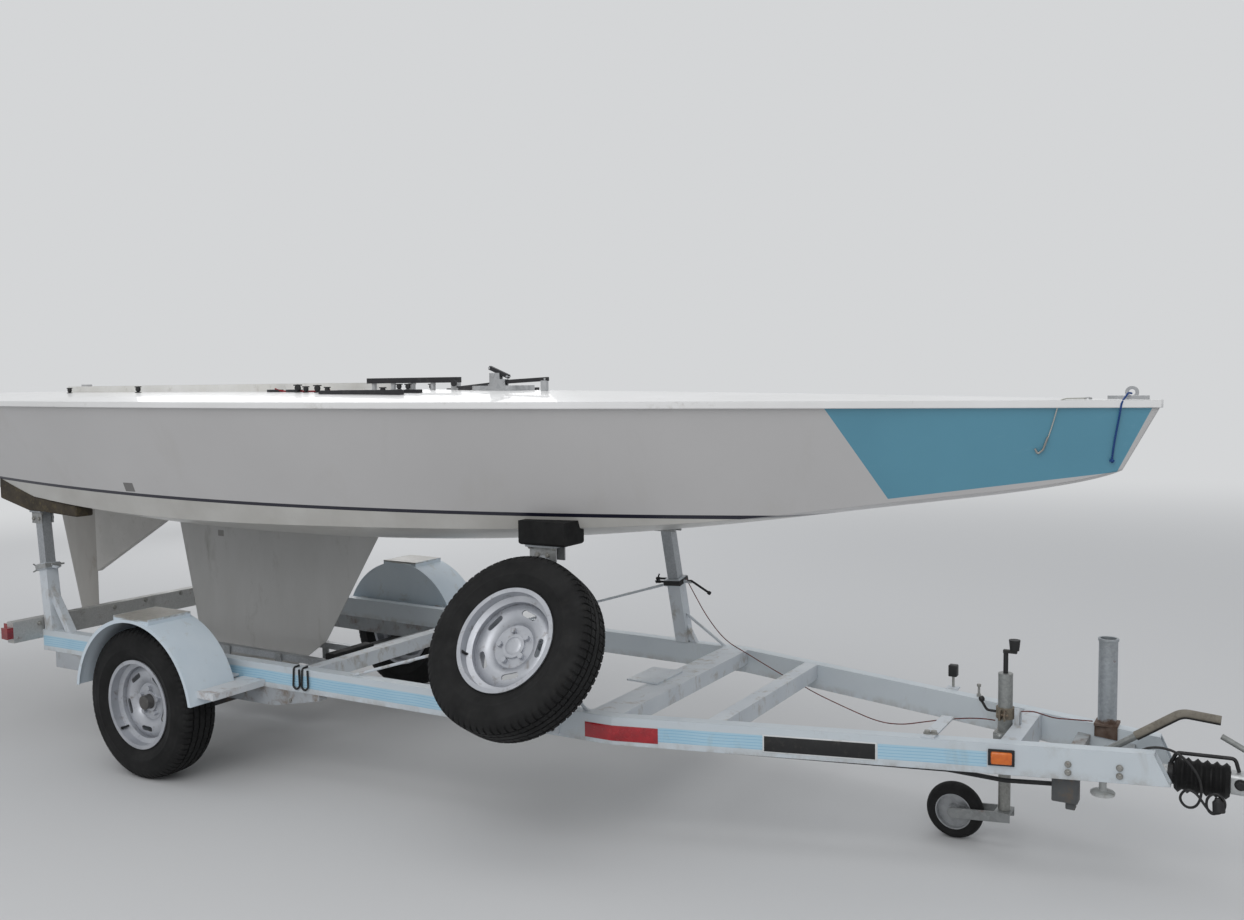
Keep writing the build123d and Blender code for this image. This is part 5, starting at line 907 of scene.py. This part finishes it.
for x, y, size in (
    (462, -372, 17), (520, -380, 13), (585, -376, 16), (660, -392, 12), (985, -402, 12), (748, -40, 13),
    (800, -40, 13), (462, 372, 17), (585, 376, 16), (-620, -380, 15), (-620, 380, 15), (-1180, -372, 13),
    (-1180, 372, 13),
):
    top, stem = deck_z(x, y), size * 0.45
    blocks.turned([(0.1, -1), (size, -1), (size, 2), (stem, 4), (stem, size + 3), (0.1, size + 3)],
                  (x, y, top), (0, 0, 1), 20)
    blocks.turned([(0.1, -6), (size * 0.8, -6), (size * 0.95, -3), (size * 0.7, 0), (size * 0.95, 3),
                   (size * 0.8, 6), (0.1, 6)], (x, y, top + size + 2), (0, 1, 0), 20)
    blocks.box((x - size * 1.3, x + size * 1.3), (y - 5, y + 5), (top + size * 1.7, top + size * 1.7 + 5))
gear.tube([(x, -396, deck_z(x, -396) + 5) for x in (690, 800, 900, 980)], 4.5)
for x in (300, 420):
    top = deck_z(x, -352)
    gear.box((x - 40, x + 40), (-366, -340), (top - 1, top + 11))
gear.make("deck_bars", MATERIALS["deck_tracks"], bevel=1.5)
blocks.make("deck_blocks", BLACK, smooth=True)
steel.make("deck_steel", MATERIALS["deck_fittings"], smooth=True)

# Ropes at the bow, and the hook and eye of the pale one
eye_top = Vector((3763, 0, deck_z(3763, 0) + 16))
deck_edge = hull_side(3735, 1240, 5)
bow_line = [eye_top + Vector((0, -9, 2)), eye_top + Vector((-8, -24, 6)), (3752, -38, deck_z(3750, -20) + 12),
            (3741, deck_edge.y - 8, 1268), (3737, deck_edge.y - 7, 1238), hull_side(3728, 1190, 7),
            hull_side(3718, 1135, 7), hull_side(3712, 1086, 6)]
end_knot = knot("bow_rope_knot", bow_line[-1] + Vector((0, -1, -6)), 8, BLUE_ROPE)
cord_piece("bow_rope", bow_line, 0.006, BLUE_ROPE, 0.24, "knot", stiffness="limp", lay="hanging",
           with_pieces=[end_knot])
line_edge = hull_side(3560, 1240, 4)
lash = [(3640, -44, deck_z(3640, -44) + 3), (3610, -70, deck_z(3610, -70) + 3),
        (3580, -96, deck_z(3580, -96) + 4), (3566, line_edge.y - 8, 1272), (3558, line_edge.y - 5, 1240),
        hull_side(3543, 1190, 4), hull_side(3530, 1152, 4)]
hook = Shape()
hook_top = Vector(lash[-1])
hook_shape = ((0, -1, 4), (-14, 0, -36), (-30, -2, -52), (-38, -4, -34))
hook.tube(arc_line([hook_top + Vector(step) for step in hook_shape], 9), 3.4)
hook_piece = hook.make("lash_hook", BOLT, smooth=True)
cord_piece("bow_lash", lash, 0.004, PALE_ROPE, 0.22, "fitting", stiffness="limp", lay="hanging",
           with_pieces=[hook_piece])
pad_eye = Shape()
pad_eye.turned([(0.1, -1), (13, -1), (12, 4), (5, 6), (0.1, 6)], (3640, -44, deck_z(3640, -44)), (0, 0, 1), 20)
pad_eye.make("deck_eye", MATERIALS["deck_fittings"], smooth=True)

# Sheet end on the deck
sheet_line = [(300, -352), (350, -372), (420, -350), (500, -362), (560, -352), (640, -368)]
sheet_line = [(x, y, deck_z(x, y) + (14 if x == 300 else 4)) for x, y in sheet_line]
end_knot = knot("sheet_knot", Vector(sheet_line[-1]) + Vector((5, 0, 3)), 8, RED_ROPE, (1, 0, 0))
cord_piece("cockpit_sheet", sheet_line, 0.007, RED_ROPE, 0.35, "knot", stiffness="limp", lay="loose",
           with_pieces=[end_knot])

# Leads on the trailer: from the port middle post to the jockey wheel, on to the mast post, and the looped one
wire = [(1900, 524, 470), (1945, 500, 420), (2020, 492, 310), (2110, 482, 222), (2210, 470, 184),
        (2300, 455, 150), (2413, 430, 112), (2480, 412, 98), (2560, 380, 76), (2733, 310, 50), (2870, 240, 40),
        (2980, 170, 64), (3080, 110, 106), (3170, 70, 140), (3300, 20, 178), (3360, -27, 190)]
cord_piece("light_lead", wire, 0.004, BROWN_WIRE, 1.7, "object", stiffness="medium", lay="hanging")
short_wire = [(3442, -12, 228), (3472, 12, 228), (3500, 44, 212), (3532, 82, 193), (3572, 110, 188),
              (3648, 118, 190)]
cord_piece("saddle_lead", short_wire, 0.004, BROWN_WIRE, 0.26, "object", stiffness="medium", lay="hanging")
plug = Shape()
plug.turned([(0.1, 0), (9, 0), (11, 6), (17, 12), (18, 40), (15, 44), (0.1, 44)], (4034, -82, 62),
            (0.1, -0.2, -1), 20)
plug_piece = plug.make("lead_plug", BLACK, smooth=True)
lead = [(3790, -84, 150), (3815, -76, 176), (3860, -66, 190), (3915, -62, 182), (3955, -66, 150),
        (3985, -76, 110), (3990, -78, 60), (3975, -72, 18), (3945, -66, 10), (3925, -70, 40), (3945, -76, 74),
        (3975, -78, 66), (4000, -82, 30), (4020, -86, 10), (4050, -88, 22), (4056, -86, 56), (4030, -82, 78),
        (4004, -80, 60), (4002, -80, 24), (4022, -76, 2), (4050, -72, 30), (4044, -78, 66), (4035, -81, 66)]
cord_piece("trailer_lead", lead, 0.008, BLACK, 0.8, "plug", stiffness="medium", lay="hanging",
           with_pieces=[plug_piece])


# Floor, background and lights
BACKDROP = (0.66, 0.67, 0.68, 1)


def make_floor():
    """Matt floor that fades into the background away from the part."""
    size, fade_from, fade_to = 60.0, 4.5, 16.0
    mesh = bpy.data.meshes.new("floor")
    corners = [(-size, -size, 0), (size, -size, 0), (size, size, 0), (-size, size, 0)]
    mesh.from_pydata(corners, [], [(0, 1, 2, 3)])
    floor = put("floor", mesh)
    material = bpy.data.materials.new("floor")
    s = Nodes(material)
    ground = s.node("ShaderNodeBsdfDiffuse", (0.62, 0.62, 0.62, 1)).outputs[0]
    glow = s.node("ShaderNodeEmission", BACKDROP).outputs[0]
    place = s.node("ShaderNodeTexCoord").outputs["Object"]
    length = s.node("ShaderNodeVectorMath", place, operation="LENGTH").outputs["Value"]
    reach = s.node("ShaderNodeMapRange", length, fade_from, fade_to, interpolation_type="SMOOTHSTEP").outputs[0]
    seen = s.times(reach, s.node("ShaderNodeLightPath").outputs["Is Camera Ray"])
    blend = s.node("ShaderNodeMixShader", seen, ground, glow)
    s.node("ShaderNodeOutputMaterial", blend.outputs[0])
    mesh.materials.append(material)


def make_world():
    """Soft light from all around; the camera, mirrors and glass see the plain background instead."""
    world = bpy.data.worlds.new("world")
    bpy.context.scene.world = world
    s = Nodes(world)
    soft = s.node("ShaderNodeBackground", (0.93, 0.96, 1.0, 1), 0.6).outputs[0]
    plain = s.node("ShaderNodeBackground", BACKDROP).outputs[0]
    rays = s.node("ShaderNodeLightPath").outputs
    shown = rays["Is Camera Ray"]
    for kind in ("Is Glossy Ray", "Is Transmission Ray"):
        shown = s.math("MAXIMUM", shown, rays[kind])
    s.node("ShaderNodeOutputWorld", s.node("ShaderNodeMixShader", shown, soft, plain).outputs[0])


make_floor()
make_world()
for name, place, aim, size, energy in (
    ("key", (3.0, -7.0, 6.5), (0.2, 0, 0.6), 6.0, 215),
    ("top", (0.0, 1.0, 8.0), (0, 0, 0), 9.0, 145),
    ("back", (-6.0, 6.0, 4.0), (0, 0, 0.7), 5.0, 95),
):
    data = bpy.data.lights.new(name, "AREA")
    data.size, data.energy = size, energy
    lamp = put(name, data)
    lamp.location = place
    lamp.rotation_euler = (Vector(aim) - Vector(place)).to_track_quat("-Z", "Y").to_euler()

bpy.context.scene.view_settings.view_transform = "Standard"
